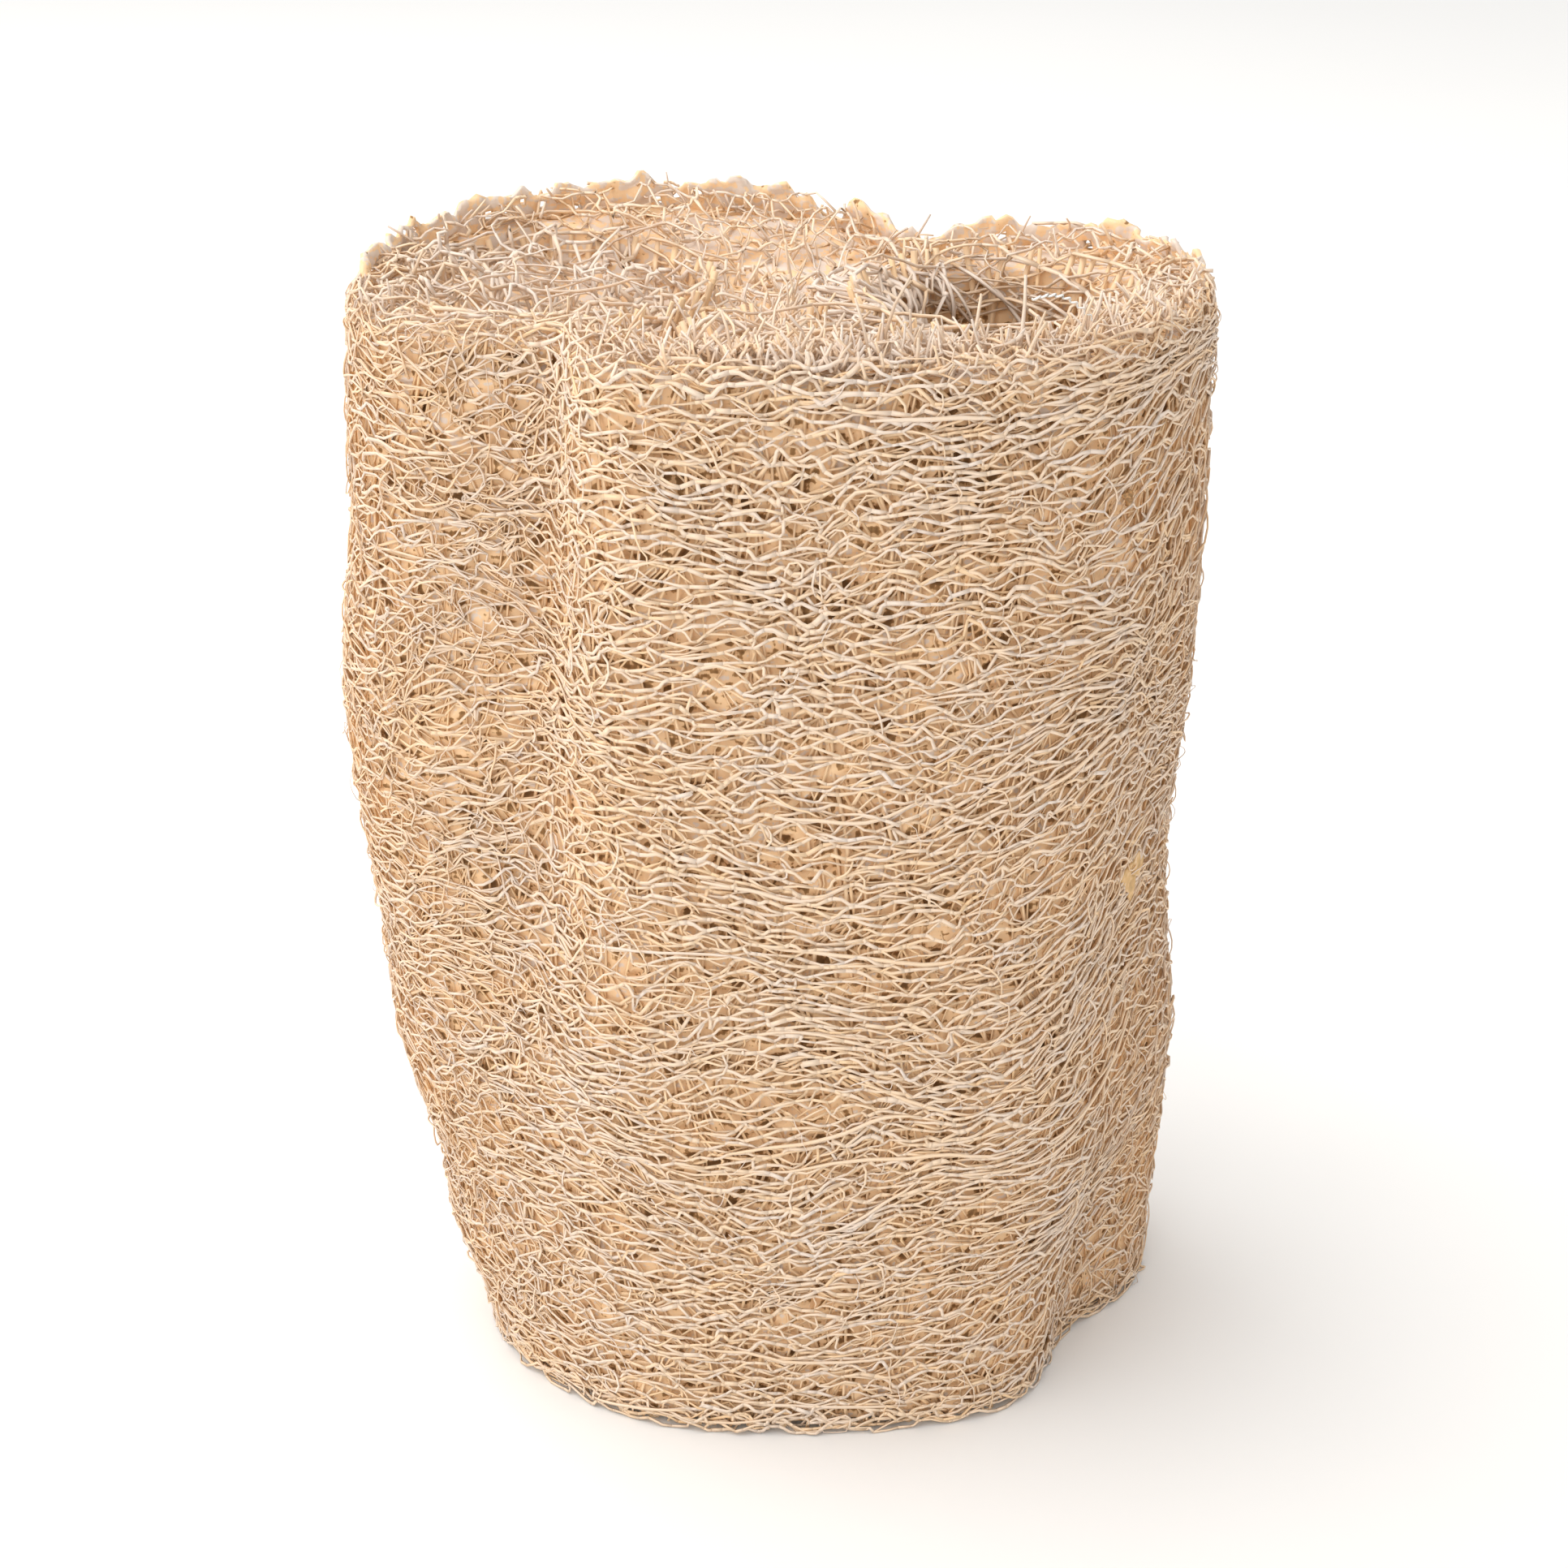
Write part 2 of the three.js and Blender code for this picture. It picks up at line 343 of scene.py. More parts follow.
def make_fibres(name, fibres, finish=None):
    """One piece from a list of (points, radius, tone), of dry fibre unless another finish is given.
    Nothing reaches below the floor."""
    parts = [tubes(*group) for group in fibres if len(group[0])]
    starts = np.cumsum([0] + [len(vertices) for vertices, _, _ in parts[:-1]])
    vertices = np.concatenate([part[0] for part in parts])
    vertices[:, 2] = np.maximum(vertices[:, 2], 0)
    triangles = np.concatenate([part[1] + start for part, start in zip(parts, starts)])
    mesh = bpy.data.meshes.new(name)
    mesh.vertices.add(len(vertices))
    mesh.vertices.foreach_set("co", vertices.astype(np.float32).ravel())
    mesh.loops.add(3 * len(triangles))
    mesh.loops.foreach_set("vertex_index", triangles.astype(np.int32).ravel())
    mesh.polygons.add(len(triangles))
    starts = np.arange(0, 3 * len(triangles), 3, dtype=np.int32)
    mesh.polygons.foreach_set("loop_start", starts)
    mesh.update(calc_edges=True)
    smooth(mesh)
    set_tone(mesh, np.concatenate([part[2] for part in parts]))
    return finish_piece(linked(name, mesh), finish or fibre(bpy.context))


def polygon_mesh(name, points, faces):
    """A mesh from an array of points and a list of faces."""
    mesh = bpy.data.meshes.new(name)
    mesh.from_pydata(points.reshape(-1, 3).tolist(), [], faces)
    return mesh


def smooth(mesh):
    """Shades every face of a mesh smoothly."""
    mesh.polygons.foreach_set("use_smooth", np.ones(len(mesh.polygons), bool))


def set_tone(mesh, values):
    """Writes the point attribute that the finishes read."""
    tone = mesh.attributes.new("tone", "FLOAT", "POINT")
    tone.data.foreach_set("value", np.asarray(values, np.float32).ravel())


def linked(name, data):
    """A new object of that name and data, linked to the scene."""
    thing = bpy.data.objects.new(name, data)
    bpy.context.scene.collection.objects.link(thing)
    return thing


def finish_piece(piece, material):
    """Gives a piece its material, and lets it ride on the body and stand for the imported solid."""
    piece.data.materials.clear()
    piece.data.materials.append(material)
    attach(piece, BODY)
    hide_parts(NODE)
    return piece


def hermite(start, end, leave, arrive, count):
    """Points on cubic curves from start to end that leave and arrive along the given directions."""
    t = np.linspace(0, 1, count)[:, None]
    reach = np.linalg.norm(end - start, axis=1)[:, None, None]
    h0, h1 = 2 * t**3 - 3 * t**2 + 1, -2 * t**3 + 3 * t**2
    g0, g1 = t**3 - 2 * t**2 + t, t**3 - t**2
    ends = h0 * start[:, None] + h1 * end[:, None]
    return ends + 1.15 * reach * (g0 * leave[:, None] + g1 * arrive[:, None])


def net_paths(rng, cell_length, cell_height, low, high, loop, tangle, paired=0, points=4):
    """Paths of a net of lens-shaped meshes on a flat strip. Short bonds lie in a brick pattern,
    each nudged at random; from both ends of each bond two slants run to the bonds of the next
    column, and leave and arrive along the bonds. Rows of bonds close up in pairs, so that the
    slants in a pair make one wavy strand and the others are its links to the next. Returns bonds,
    their numbers, the strands' and the links' slants with the numbers of the bonds that they join,
    and how tangled each bond is."""
    columns = 2 * round(loop / (0.75 * cell_length) / 2)
    rows = 2 * round((high - low) / cell_height)
    column, row = np.meshgrid(np.arange(columns), np.arange(rows), indexing="ij")
    across, up = loop / columns, (high - low) / (rows - 1)
    way, height = column * across, low + row * up
    mess = tangle(way, height)
    inner = (row > 0) & (row < rows - 1)
    closer = 0.5 * paired * (1 - mess) * np.where(row % 2, -1, 1) * inner
    nudge = 0.28 + 0.34 * mess
    way = way + nudge * across * rng.uniform(-1, 1, way.shape)
    height = height + up * (closer + nudge * 1.5 * rng.uniform(-1, 1, way.shape) * inner)
    lean = (0.13 + 0.85 * mess) * rng.normal(0, 1, way.shape) * np.where(inner, 1, 0.15)
    half = across * rng.uniform(0.06, 0.34, way.shape)
    heading = np.stack([np.cos(lean), np.sin(lean)], -1)
    middle = np.stack([way, height], -1)
    right = middle + half[..., None] * heading
    left = middle - half[..., None] * heading
    number = np.arange(columns * rows).reshape(columns, rows)
    used = (column + row) % 2 == 0
    bonds = np.stack([left[used], right[used]], 1)
    wrap = np.zeros((columns, rows, 2))
    wrap[-1, :, 0] = loop
    slants, joins, links = [], [], []
    for climb in (-1, 1):
        go = used & (row + climb >= 0) & (row + climb < rows)
        c, r = column[go], row[go]
        to = (c + 1) % columns, r + climb
        slants.append(np.stack([right[go], left[to] + wrap[go], heading[go], heading[to]], 1))
        joins.append(np.stack([number[go], number[to]], 1))
        links.append(r // 2 != (r + climb) // 2)
    slants, joins, links = [np.concatenate(part) for part in (slants, joins, links)]
    groups = [
        (hermite(*np.moveaxis(slants[pick], 1, 0), count), joins[pick], link)
        for pick, count, link in ((~links, points, 0), (links, 3, 1))
    ]
    return bonds, number[used], groups, np.broadcast_to(mess, number.shape).ravel()


def net_fibres(rng, paths, place, depth, rough, thickness, tone, kept=0.9, slim=0.90):
    """Fibres of a net, as (points, radius, tone): every bond has its own depth, thickness and tone,
    and the slants blend from one bond's to the next. Links are slimmer and lie deeper, with a tone
    0.05 lower as painted shade of their depth, and only the kept share of them is there."""
    bonds, bond_number, groups, mess = paths
    own_depth = depth + rough * rng.normal(0, 1, mess.size)
    own_radius = thickness / 2 * rng.lognormal(0, 0.20, mess.size) * (1 - 0.30 * mess)
    own_tone = tone[0] + tone[1] * rng.normal(0, 1, mess.size)
    owned = own_depth, own_radius, own_tone
    bond = [np.repeat(own[bond_number][:, None], 2, 1) for own in owned]
    fibres = [(place(bonds[..., 0], bonds[..., 1], bond[0]), bond[1], bond[2])]
    for slants, joins, link in groups:
        chosen = rng.random(len(slants)) < (kept if link else 0.98)
        slants, joins = slants[chosen], joins[chosen]
        t = np.linspace(0, 1, slants.shape[1])
        arch = np.sin(math.pi * t)
        deep, wide, shade = [
            own[joins[:, :1]] * (1 - t) + own[joins[:, 1:]] * t for own in owned
        ]
        belly = rough * (rng.normal(0, 0.8, (len(slants), 1)) + 0.6 * link) * arch
        points = place(slants[..., 0], slants[..., 1], deep + belly)
        radius = wide * (1 - 0.14 * arch) * (slim if link else 1)
        # Links 0.05 darker: painted shade of their lying deeper
        fibres.append((points, radius, shade - 0.05 * link))
    return fibres


def only(fibres, keep):
    """The fibres, a list of (points, radius, tone), for which keep(points) is true."""
    masks = [keep(points) for points, _, _ in fibres]
    return [tuple(item[mask] for item in group) for group, mask in zip(fibres, masks)]


def skin_place(way, height, depth):
    """Places strip points on the swept skin, between the two cuts."""
    way, height = swept(way, height)
    return on_skin(way, np.clip(height, 0.25 * MM, HEIGHT - 0.15 * MM), depth)


def middle_angle(points):
    """Angle of each path's middle point round the core, in degrees from 0 to 360."""
    middle = points[:, points.shape[1] // 2]
    return np.degrees(np.arctan2(middle[:, 1], middle[:, 0])) % 360


def channel_oval(name, z):
    """Centre and half widths of a seed channel at height z, with the flare at its mouth."""
    at, half = CHANNELS[name]
    share = np.clip(z / HEIGHT, 0, 1)
    flare = MOUTH_FLARE * step(z, HEIGHT - MOUTH_DEPTH, HEIGHT)
    centre = [at[0][i] + share * (at[1][i] - at[0][i]) for i in (0, 1)]
    reach = [half[0][i] + share * (half[1][i] - half[0][i]) + flare for i in (0, 1)]
    return centre, reach


def on_oval(name, z, angle, wider=0, share=1):
    """Points at an angle in a seed channel and at height z: at a share of its oval's half widths,
    which are made wider first."""
    centre, reach = channel_oval(name, z)
    x = centre[0] + (reach[0] + wider) * share * np.cos(angle)
    y = centre[1] + (reach[1] + wider) * share * np.sin(angle)
    return np.stack(np.broadcast_arrays(x, y, z), -1)


def channel_place(name):
    """Places strip points on a channel's wall: way is the distance round a circle of the mean half
    width, and depth goes into the wall."""
    mean = sum(CHANNELS[name][1][0] + CHANNELS[name][1][1]) / 4

    def place(way, height, depth):
        return on_oval(name, np.clip(height, 0.6 * MM, HEIGHT - 1.2 * MM), way / mean, depth)

    return place, 2 * math.pi * mean


def share_at(x, y, z=HEIGHT):
    """Distance from the core as a share of the outline."""
    return np.hypot(x, y) / outline(np.arctan2(y, x), z)


def cut_level(x, y, dish=DISH):
    """Height of the upper cut: sunk by the dish in the middle, and sloping with its levels."""
    share = share_at(x, y)
    sunk = dish * (1 - step(share, 0.45, 0.9))
    return HEIGHT - sunk + share * cut_rise(np.arctan2(y, x))


def mouth_rise(x, y):
    """How far fibres in a channel's mouth follow the rise of the upper cut."""
    return LIFT * share_at(x, y) * cut_rise(np.arctan2(y, x))


def back_dip(y):
    """0 in front, 1 at the back: where the fillings of the channels' mouths lie deeper."""
    return step(y, -2 * MM, 16 * MM)


def on_flesh(x, y, z, margin, covered=None):
    """Whether points lie on the cut flesh: inside the outline by a margin and outside each channel
    but the covered one."""
    inside = np.hypot(x, y) < outline(np.arctan2(y, x), z) - margin
    for name in set(CHANNELS) - {covered}:
        centre, reach = channel_oval(name, z)
        inside &= ((x - centre[0]) / reach[0]) ** 2 + ((y - centre[1]) / reach[1]) ** 2 > 0.97
    return inside


class Wire:
    """An output of a material's node. Arithmetic on it adds Math nodes."""

    def __init__(self, finish, socket):
        self.finish, self.socket = finish, socket

    def math(self, operation, first, second):
        return self.finish.add("ShaderNodeMath", {"operation": operation}, {0: first, 1: second})

    def __add__(self, other):
        return self.math("ADD", self, other)

    def __radd__(self, other):
        return self.math("ADD", other, self)

    def __sub__(self, other):
        return self.math("SUBTRACT", self, other)

    def __rsub__(self, other):
        return self.math("SUBTRACT", other, self)

    def __mul__(self, other):
        return self.math("MULTIPLY", self, other)

    def __rmul__(self, other):
        return self.math("MULTIPLY", other, self)


class Finish:
    """A material being built: add makes any node, and shade sets the sockets of its shader."""

    def __init__(self, name):
        self.material = bpy.data.materials.new(name)
        self.material.use_nodes = True
        self.tree = self.material.node_tree
        self.shader = self.tree.nodes["Principled BSDF"]

    def fill(self, node, inputs):
        for key, value in inputs.items():
            if isinstance(value, Wire):
                self.tree.links.new(value.socket, node.inputs[key])
            else:
                node.inputs[key].default_value = value

    def add(self, kind, settings, inputs, output=0):
        node = self.tree.nodes.new(kind)
        for key, value in settings.items():
            if key == "stops":
                self.set_stops(node.color_ramp, value)
            else:
                setattr(node, key, value)
        self.fill(node, inputs)
        return Wire(self, node.outputs[output])

    def set_stops(self, ramp, stops):
        while len(ramp.elements) < len(stops):
            ramp.elements.new(1)
        for element, (position, colour) in zip(ramp.elements, stops):
            element.position = position
            element.color = (*colour, 1)

    def shade(self, **sockets):
        self.fill(self.shader, {key.replace("_", " "): value for key, value in sockets.items()})
        return self.material

    def noise(self, scale, detail=2.0, stretch=(1, 1, 1)):
        """Noise on Object coordinates, in cycles a metre."""
        place = self.add("ShaderNodeTexCoord", {}, {}, "Object")
        place = self.add("ShaderNodeMapping", {}, {"Vector": place, "Scale": stretch})
        inputs = {"Vector": place, "Scale": scale, "Detail": detail}
        return self.add("ShaderNodeTexNoise", {}, inputs)

    def tone(self):
        """The piece's own tone, point by point."""
        return self.add("ShaderNodeAttribute", {"attribute_name": "tone"}, {}, "Fac")

    def ramp(self, value, *stops):
        """Colour of a value, between stops of (position, colour)."""
        return self.add("ShaderNodeValToRGB", {"stops": stops}, {"Fac": value})

    def bump(self, height, strength, distance):
        """Normal that is tilted as a relief of that height would tilt it."""
        inputs = {"Height": height, "Strength": strength, "Distance": distance}
        return self.add("ShaderNodeBump", {}, inputs)


def scaled(colour, share):
    """A colour made darker: its three values times a share."""
    return [share * value for value in colour]


def fibre_finish(colours):
    """Dry fibre: brown through tan and cream to bleached by its tone, with patches, fine mottling
    and a grain along it."""
    finish = Finish("dry_fibre")
    tone = finish.tone()
    patches = finish.noise(55, 3.0)
    mottle = finish.noise(900)
    shifted = tone + (patches - 0.5) * 0.30 + (mottle - 0.5) * 0.22
    stops = zip((0, 0.38, 0.74, 1), (colours.brown, colours.tan, colours.cream, colours.bleached))
    colour = finish.ramp(shifted, *stops)
    bump = finish.bump(finish.noise(5200, 3.0, (1, 1, 0.45)), 0.35, 0.00006)
    rough = 0.52 + mottle * 0.30
    return finish.shade(Base_Color=colour, Roughness=rough, Normal=bump, Specular_IOR_Level=0.16)


def felt_finish(colours):
    """Inner mat: a tan web of fused fibres with fine upright ribs, dark brown in its pits and where
    a noise makes holes, which is painted shade of the holes into the inside, and bleached where its
    tone is above 1."""
    finish = Finish("felted_mat")
    tone = finish.tone()
    ribs = finish.noise(1600, 3.0, (1, 1, 0.22))
    # Where this noise is high the web is painted dark brown: painted shade of small holes into the
    # inside. The bump also dents them.
    holes = finish.noise(640, 1.0, (1, 1, 2.0))
    patches = finish.noise(60)
    light = 0.22 + tone * 0.31 - (holes - 0.5) * 2.0 + (ribs - 0.5) * 1.35 + (patches - 0.5) * 0.15
    web = [0.70 * tan + 0.31 * cream for tan, cream in zip(colours.tan, colours.cream)]
    # Darkened brown stops: painted shade in the pits and holes
    pits = (0, scaled(colours.brown, 0.30)), (0.25, scaled(colours.brown, 0.5))
    skin = (0.36, colours.tan), (0.60, web), (0.80, web), (0.92, scaled(colours.bleached, 0.94))
    colour = finish.ramp(light, *pits, *skin)
    bump = finish.bump(ribs * 0.4 - holes * 0.6, 0.8, 0.0003)
    rough = 0.92 - holes * 0.2
    return finish.shade(Base_Color=colour, Roughness=rough, Normal=bump, Specular_IOR_Level=0.1)


def thread_finish():
    """White thread with the faintest mottling."""
    finish = Finish("thread")
    mottle = finish.noise(1500)
    colour = finish.ramp(mottle, (0.2, (0.86, 0.82, 0.76)), (0.7, (0.95, 0.93, 0.90)))
    return finish.shade(Base_Color=colour, Roughness=0.5 + mottle * 0.2, Specular_IOR_Level=0.2)


def seed_finish(colours):
    """Scrap of seed coat: dark reddish brown with lighter flecks."""
    finish = Finish("seed_coat")
    fleck = finish.noise(3000, 3.0)
    stops = (0.35, scaled(colours.brown, 0.35)), (0.7, scaled(colours.brown, 0.8))
    colour = finish.ramp(fleck, *stops)
    return finish.shade(Base_Color=colour, Roughness=0.4 + fleck * 0.3, Specular_IOR_Level=0.3)


def flake_finish(colours):
    """Flake of dry skin: yellowish tan, mottled, with a fine grain."""
    finish = Finish("dry_skin")
    mottle = finish.noise(900, 4.0)
    yellow = [c * share for c, share in zip(colours.tan, (0.76, 0.70, 0.56))]
    colour = finish.ramp(mottle, (0.3, scaled(yellow, 0.7)), (0.55, yellow), (0.8, colours.cream))
    bump = finish.bump(finish.noise(4000, 3.0), 0.5, 0.0001)
    rough = 0.6 + mottle * 0.2
    return finish.shade(Base_Color=colour, Roughness=rough, Normal=bump, Specular_IOR_Level=0.2)


def floor_finish():
    """Plain pale studio floor with the faintest mottling."""
    finish = Finish("studio_floor")
    mottle = finish.noise(3)
    colour = finish.ramp(mottle, (0, (0.90, 0.90, 0.90)), (1, (0.94, 0.94, 0.94)))
    return finish.shade(Base_Color=colour, Roughness=0.9 - mottle * 0.1, Specular_IOR_Level=0.1)


def fibre(context):
    """The dry fibre, made the first time that it is asked for."""
    return bpy.data.materials.get("dry_fibre") or fibre_finish(context.scene.loofah_colours)


def felt(context):
    """The felted mat, made the first time that it is asked for."""
    return bpy.data.materials.get("felted_mat") or felt_finish(context.scene.loofah_colours)


def numbers(context, piece):
    """The random numbers of one piece: the seed with the piece's own number added."""
    return np.random.default_rng(context.scene.loofah_sizes.seed * 100 + piece)


class LOOFAH_OT_outer_net(Operator):
    """Outer net of lens-shaped meshes, in three pieces: left lobe, front lobe and right lobe"""

    bl_idname = "loofah.outer_net"
    bl_label = "Outer net"

    def execute(self, context):
        sizes = context.scene.loofah_sizes
        rng = numbers(context, 1)
        low, high = 0.4 * MM, HEIGHT - 0.2 * MM
        cell = sizes.cell_length, sizes.cell_height
        paths = net_paths(rng, *cell, low, high, LOOP, tangle_at, paired=0.14)
        fibres = net_fibres(
            rng, paths, skin_place, depth=0.36 * MM, rough=0.15 * MM,
            thickness=sizes.strand, tone=(0.85, 0.06), slim=0.84,
        )
        fibres = only(fibres, lambda points: self.below_crest(rng, points))
        lobes = {"left": (95, 222), "front": (222, 312), "right": (312, 455)}
        for name, (start, end) in lobes.items():
            span = end - start
            mine = only(fibres, lambda points: (middle_angle(points) - start) % 360 < span)
            make_fibres("outer_net_" + name, mine)
        return {"FINISHED"}

    def below_crest(self, rng, points):
        """False for three in four of the paths behind the crest at the back, so light comes through
        the rim wall's holes."""
        dropped = 0.75
        back = step(points[..., 1].mean(1), 0, 12 * MM)
        crest = step(points[..., 2].min(1), HEIGHT - 3.6 * MM, HEIGHT - 2.6 * MM)
        return rng.random(len(points)) > dropped * back * crest


class LOOFAH_OT_long_strands(Operator):
    """Long thick strands that run unbroken across the calm parts of the skin"""

    bl_idname = "loofah.long_strands"
    bl_label = "Long strands"

    def execute(self, context):
        rng = numbers(context, 2)
        count, points = 170, 14
        way = rng.uniform(0, LOOP, (count, 1))
        height = rng.uniform(1 * MM, HEIGHT - 1 * MM, (count, 1))
        calm = rng.random(count) > 1.15 * tangle_at(way, height)[:, 0]
        way, height = way[calm], height[calm]
        evenly, about = draws(rng, len(way))
        length = evenly(9 * MM, 34 * MM)
        heading = np.cumsum(rng.normal(0, 0.05, (len(way), points)), 1)
        heading = heading + about(0, 0.04)
        run = length / (points - 1)
        way = way + np.cumsum(run * np.cos(heading), 1)
        height = height + np.cumsum(run * np.sin(heading), 1)
        taper = np.sin(math.pi * np.linspace(0.10, 0.90, points)) ** 0.5
        radius = evenly(0.18 * MM, 0.30 * MM) * taper
        depth = evenly(-0.05 * MM, 0.35 * MM) + 0.5 * MM * (1 - taper)
        strands = skin_place(way, height, depth), radius, about(0.80, 0.05)
        make_fibres("long_strands", [strands])
        return {"FINISHED"}


class LOOFAH_OT_lengthwise_layer(Operator):
    """Thick fibres that run up the fruit close under the outer net"""

    bl_idname = "loofah.lengthwise_layer"
    bl_label = "Lengthwise layer"

    def execute(self, context):
        rng = numbers(context, 3)
        count = round(LOOP / context.scene.loofah_sizes.lengthwise_spacing)
        height = np.linspace(0.6 * MM, HEIGHT - 2.5 * MM, 34)[None] + np.zeros((count, 1))
        start = spaced(rng, count, LOOP)
        evenly, about = draws(rng, count)
        wander = 0.9 * MM * drift(start, height, 31, 7 * MM)
        wander = wander + 1.5 * MM * drift(start, height, 32, 22 * MM)
        own = evenly(0, 7)
        way = start + wander + 0.35 * MM * np.sin(height / (2.6 * MM) + own)
        depth = evenly(0.80 * MM, 1.20 * MM)
        depth = depth + 0.2 * MM * np.sin(height / (4.1 * MM) + 2 * own)
        radius = evenly(0.12 * MM, 0.26 * MM)
        # Tan tone: partly the fibres' own colour, partly painted shade of lying under the outer net
        tone = about(0.48, 0.06)
        fibres = [(on_skin(way, height, depth), radius, tone)]
        make_fibres("lengthwise_layer", fibres)
        return {"FINISHED"}


class LOOFAH_OT_middle_net(Operator):
    """Coarser net between the outer net and the lengthwise fibres"""

    bl_idname = "loofah.middle_net"
    bl_label = "Middle net"

    def execute(self, context):
        rng = numbers(context, 4)
        low, high = 0.8 * MM, HEIGHT - 0.8 * MM

        def messy(way, height):
            return 0.35 + 0.65 * tangle_at(way, height)

        cell = 5.4 * MM, 2.2 * MM
        paths = net_paths(rng, *cell, low, high, LOOP, messy, paired=0.3, points=3)
        # Tone 0.60, tan under the outer net: partly the fibres' own colour, partly painted shade of
        # lying under it
        fibres = net_fibres(
            rng, paths, skin_place, depth=0.64 * MM, rough=0.15 * MM,
            thickness=0.50 * MM, tone=(0.60, 0.07), slim=0.70,
        )
        make_fibres("middle_net", fibres)
        return {"FINISHED"}


class LOOFAH_OT_inner_mat(Operator):
    """Felted inner mat behind the nets, with the seed channels cut through it"""

    bl_idname = "loofah.inner_mat"
    bl_label = "Inner mat"

    def execute(self, context):
        depth = context.scene.loofah_sizes.mat_depth
        mat = linked("inner_mat", lofted("inner_mat", self.core(depth)))
        cutters = [linked("cutter", lofted("cutter", self.bore(name))) for name in CHANNELS]
        for cutter in cutters:
            cut = mat.modifiers.new("channel", "BOOLEAN")
            cut.operation, cut.solver, cut.object = "DIFFERENCE", "EXACT", cutter
        context.view_layer.update()
        whole = mat.evaluated_get(context.evaluated_depsgraph_get())
        shape = bpy.data.meshes.new_from_object(whole)
        mat.modifiers.clear()
        mat.data = shape
        for cutter in cutters:
            bpy.data.objects.remove(cutter)
        self.mark_pits(shape, depth)
        finish_piece(mat, felt(context))
        return {"FINISHED"}

    def pits(self, way, level):
        """0 on the web between the meshes, 1 in its small holes, which are wider than high and
        fewer where the skin is tangled."""
        field = drift(way, 1.6 * level, 51, 3.6 * MM, 24)
        field = field + 0.3 * drift(way, 0.7 * level, 52, 26 * MM)
        return step(field - 1.2 * tangle_at(way, level), 0.2, 1.0)

    def mark_pits(self, shape, depth):
        """Writes the finished mat's tone: web on its skin, darker in the pits and deep inside, which
        is painted shade, bleached on top and a little paler underneath."""
        place = np.zeros(3 * len(shape.vertices), np.float32)
        shape.vertices.foreach_get("co", place)
        x, y, z = place.reshape(-1, 3).T
        angle = np.arctan2(y, x) % (2 * math.pi)
        way = np.interp(angle, TABLE_ANGLE, TABLE_SHARE) * LOOP
        inside = step(outline(angle, z) - np.hypot(x, y), depth + 2.5 * MM, depth + 4.5 * MM)
        pale = 1.5 * step(z, HEIGHT - 9 * MM, HEIGHT - 6 * MM) * step(inside, 0, 0.3)
        pale = pale + 0.5 * step(-z, -2.4 * MM, -1.5 * MM)
        # Painted shade: the tone falls to 0 in the pits and by 0.3 deep inside, away from the skin
        set_tone(shape, (1 - self.pits(way, z)) * (1 - 0.3 * inside) + pale)

    def core(self, depth):
        """Rings of the mat: the outline less its depth and its pits, closed by a sunk top and a
        flat underside."""
        columns, rows, top = 250, 120, HEIGHT - 3.0 * MM
        way = np.linspace(0, LOOP, columns, endpoint=False)
        angle = angle_at(way)
        share = np.array([0.02, 0.5, 0.9] + [1] * rows + [0.9, 0.7, 0.4, 0.02])[:, None]
        sides = np.linspace(1.5 * MM, top, rows)
        level = np.concatenate([[1.4 * MM] * 3, sides, [top] * 4])[:, None]
        ripple = 0.10 * MM * drift(way, level, 53, 5 * MM) - 0.8 * MM * self.pits(way, level)
        radius = share * (outline(angle[None], level) - depth + ripple)
        rise = step(level, HEIGHT - CUT_BLEND, HEIGHT) * cut_rise(angle) * share
        sunk = DISH * (1 - step(share, 0.45, 0.9)) * (level > HEIGHT / 2)
        return polar(radius, angle, level + rise - sunk)

    def bore(self, name):
        """Rings of a channel's cutter: its oval, a little wider than the fibres that line it."""
        angle = round_angles(48)
        level = np.linspace(-3 * MM, HEIGHT + 5 * MM, 30)[:, None]
        wider = 1.3 * MM + 0.3 * MM * np.sin(5 * angle + level / (3 * MM))
        return on_oval(name, level, angle, wider)


def lofted(name, rings):
    """Closed mesh from m rings of n points, from the lowest up: neighbouring rings are joined by
    quads, and the first and last ring are closed by a polygon each."""
    m, n = rings.shape[:2]
    index = np.arange(m * n).reshape(m, n)
    after = np.roll(index, -1, 1)
    quads = np.stack([index[:-1], after[:-1], after[1:], index[1:]], -1).reshape(-1, 4)
    faces = quads.tolist() + [index[0, ::-1].tolist(), index[-1].tolist()]
    return polygon_mesh(name, rings, faces)


class LOOFAH_OT_channel_walls(Operator):
    """Thick net that lines each seed channel, with upright fibres behind it"""

    bl_idname = "loofah.channel_walls"
    bl_label = "Channel walls"

    def execute(self, context):
        rng = numbers(context, 5)
        fibres = []
        for name in CHANNELS:
            place, loop = channel_place(name)
            for low, high in ((1 * MM, 16 * MM), (HEIGHT - 42 * MM, HEIGHT - 1.4 * MM)):
                cell = 8.5 * MM, 2.9 * MM
                paths = net_paths(rng, *cell, low, high, loop, even(0.45), paired=0.2)
                fibres += net_fibres(
                    rng, paths, place, depth=0.1 * MM, rough=0.4 * MM,
                    thickness=0.58 * MM, tone=(0.82, 0.08), kept=0.85,
                )
            count = round(loop / (1.7 * MM))
            height = np.linspace(1 * MM, HEIGHT - 1.5 * MM, 26)
            start = spaced(rng, count, loop)
            evenly, about = draws(rng, count)
            way = start + 0.8 * MM * np.sin(height / (6 * MM) + evenly(0, 7))
            radius = evenly(0.25 * MM, 0.45 * MM)
            # Darker tan than the net in front: partly their own colour, partly painted shade of
            # lying behind it
            tone = about(0.55, 0.06)
            fibres.append((place(way, height, 0.8 * MM), radius, tone))
        make_fibres("channel_walls", fibres)
        return {"FINISHED"}


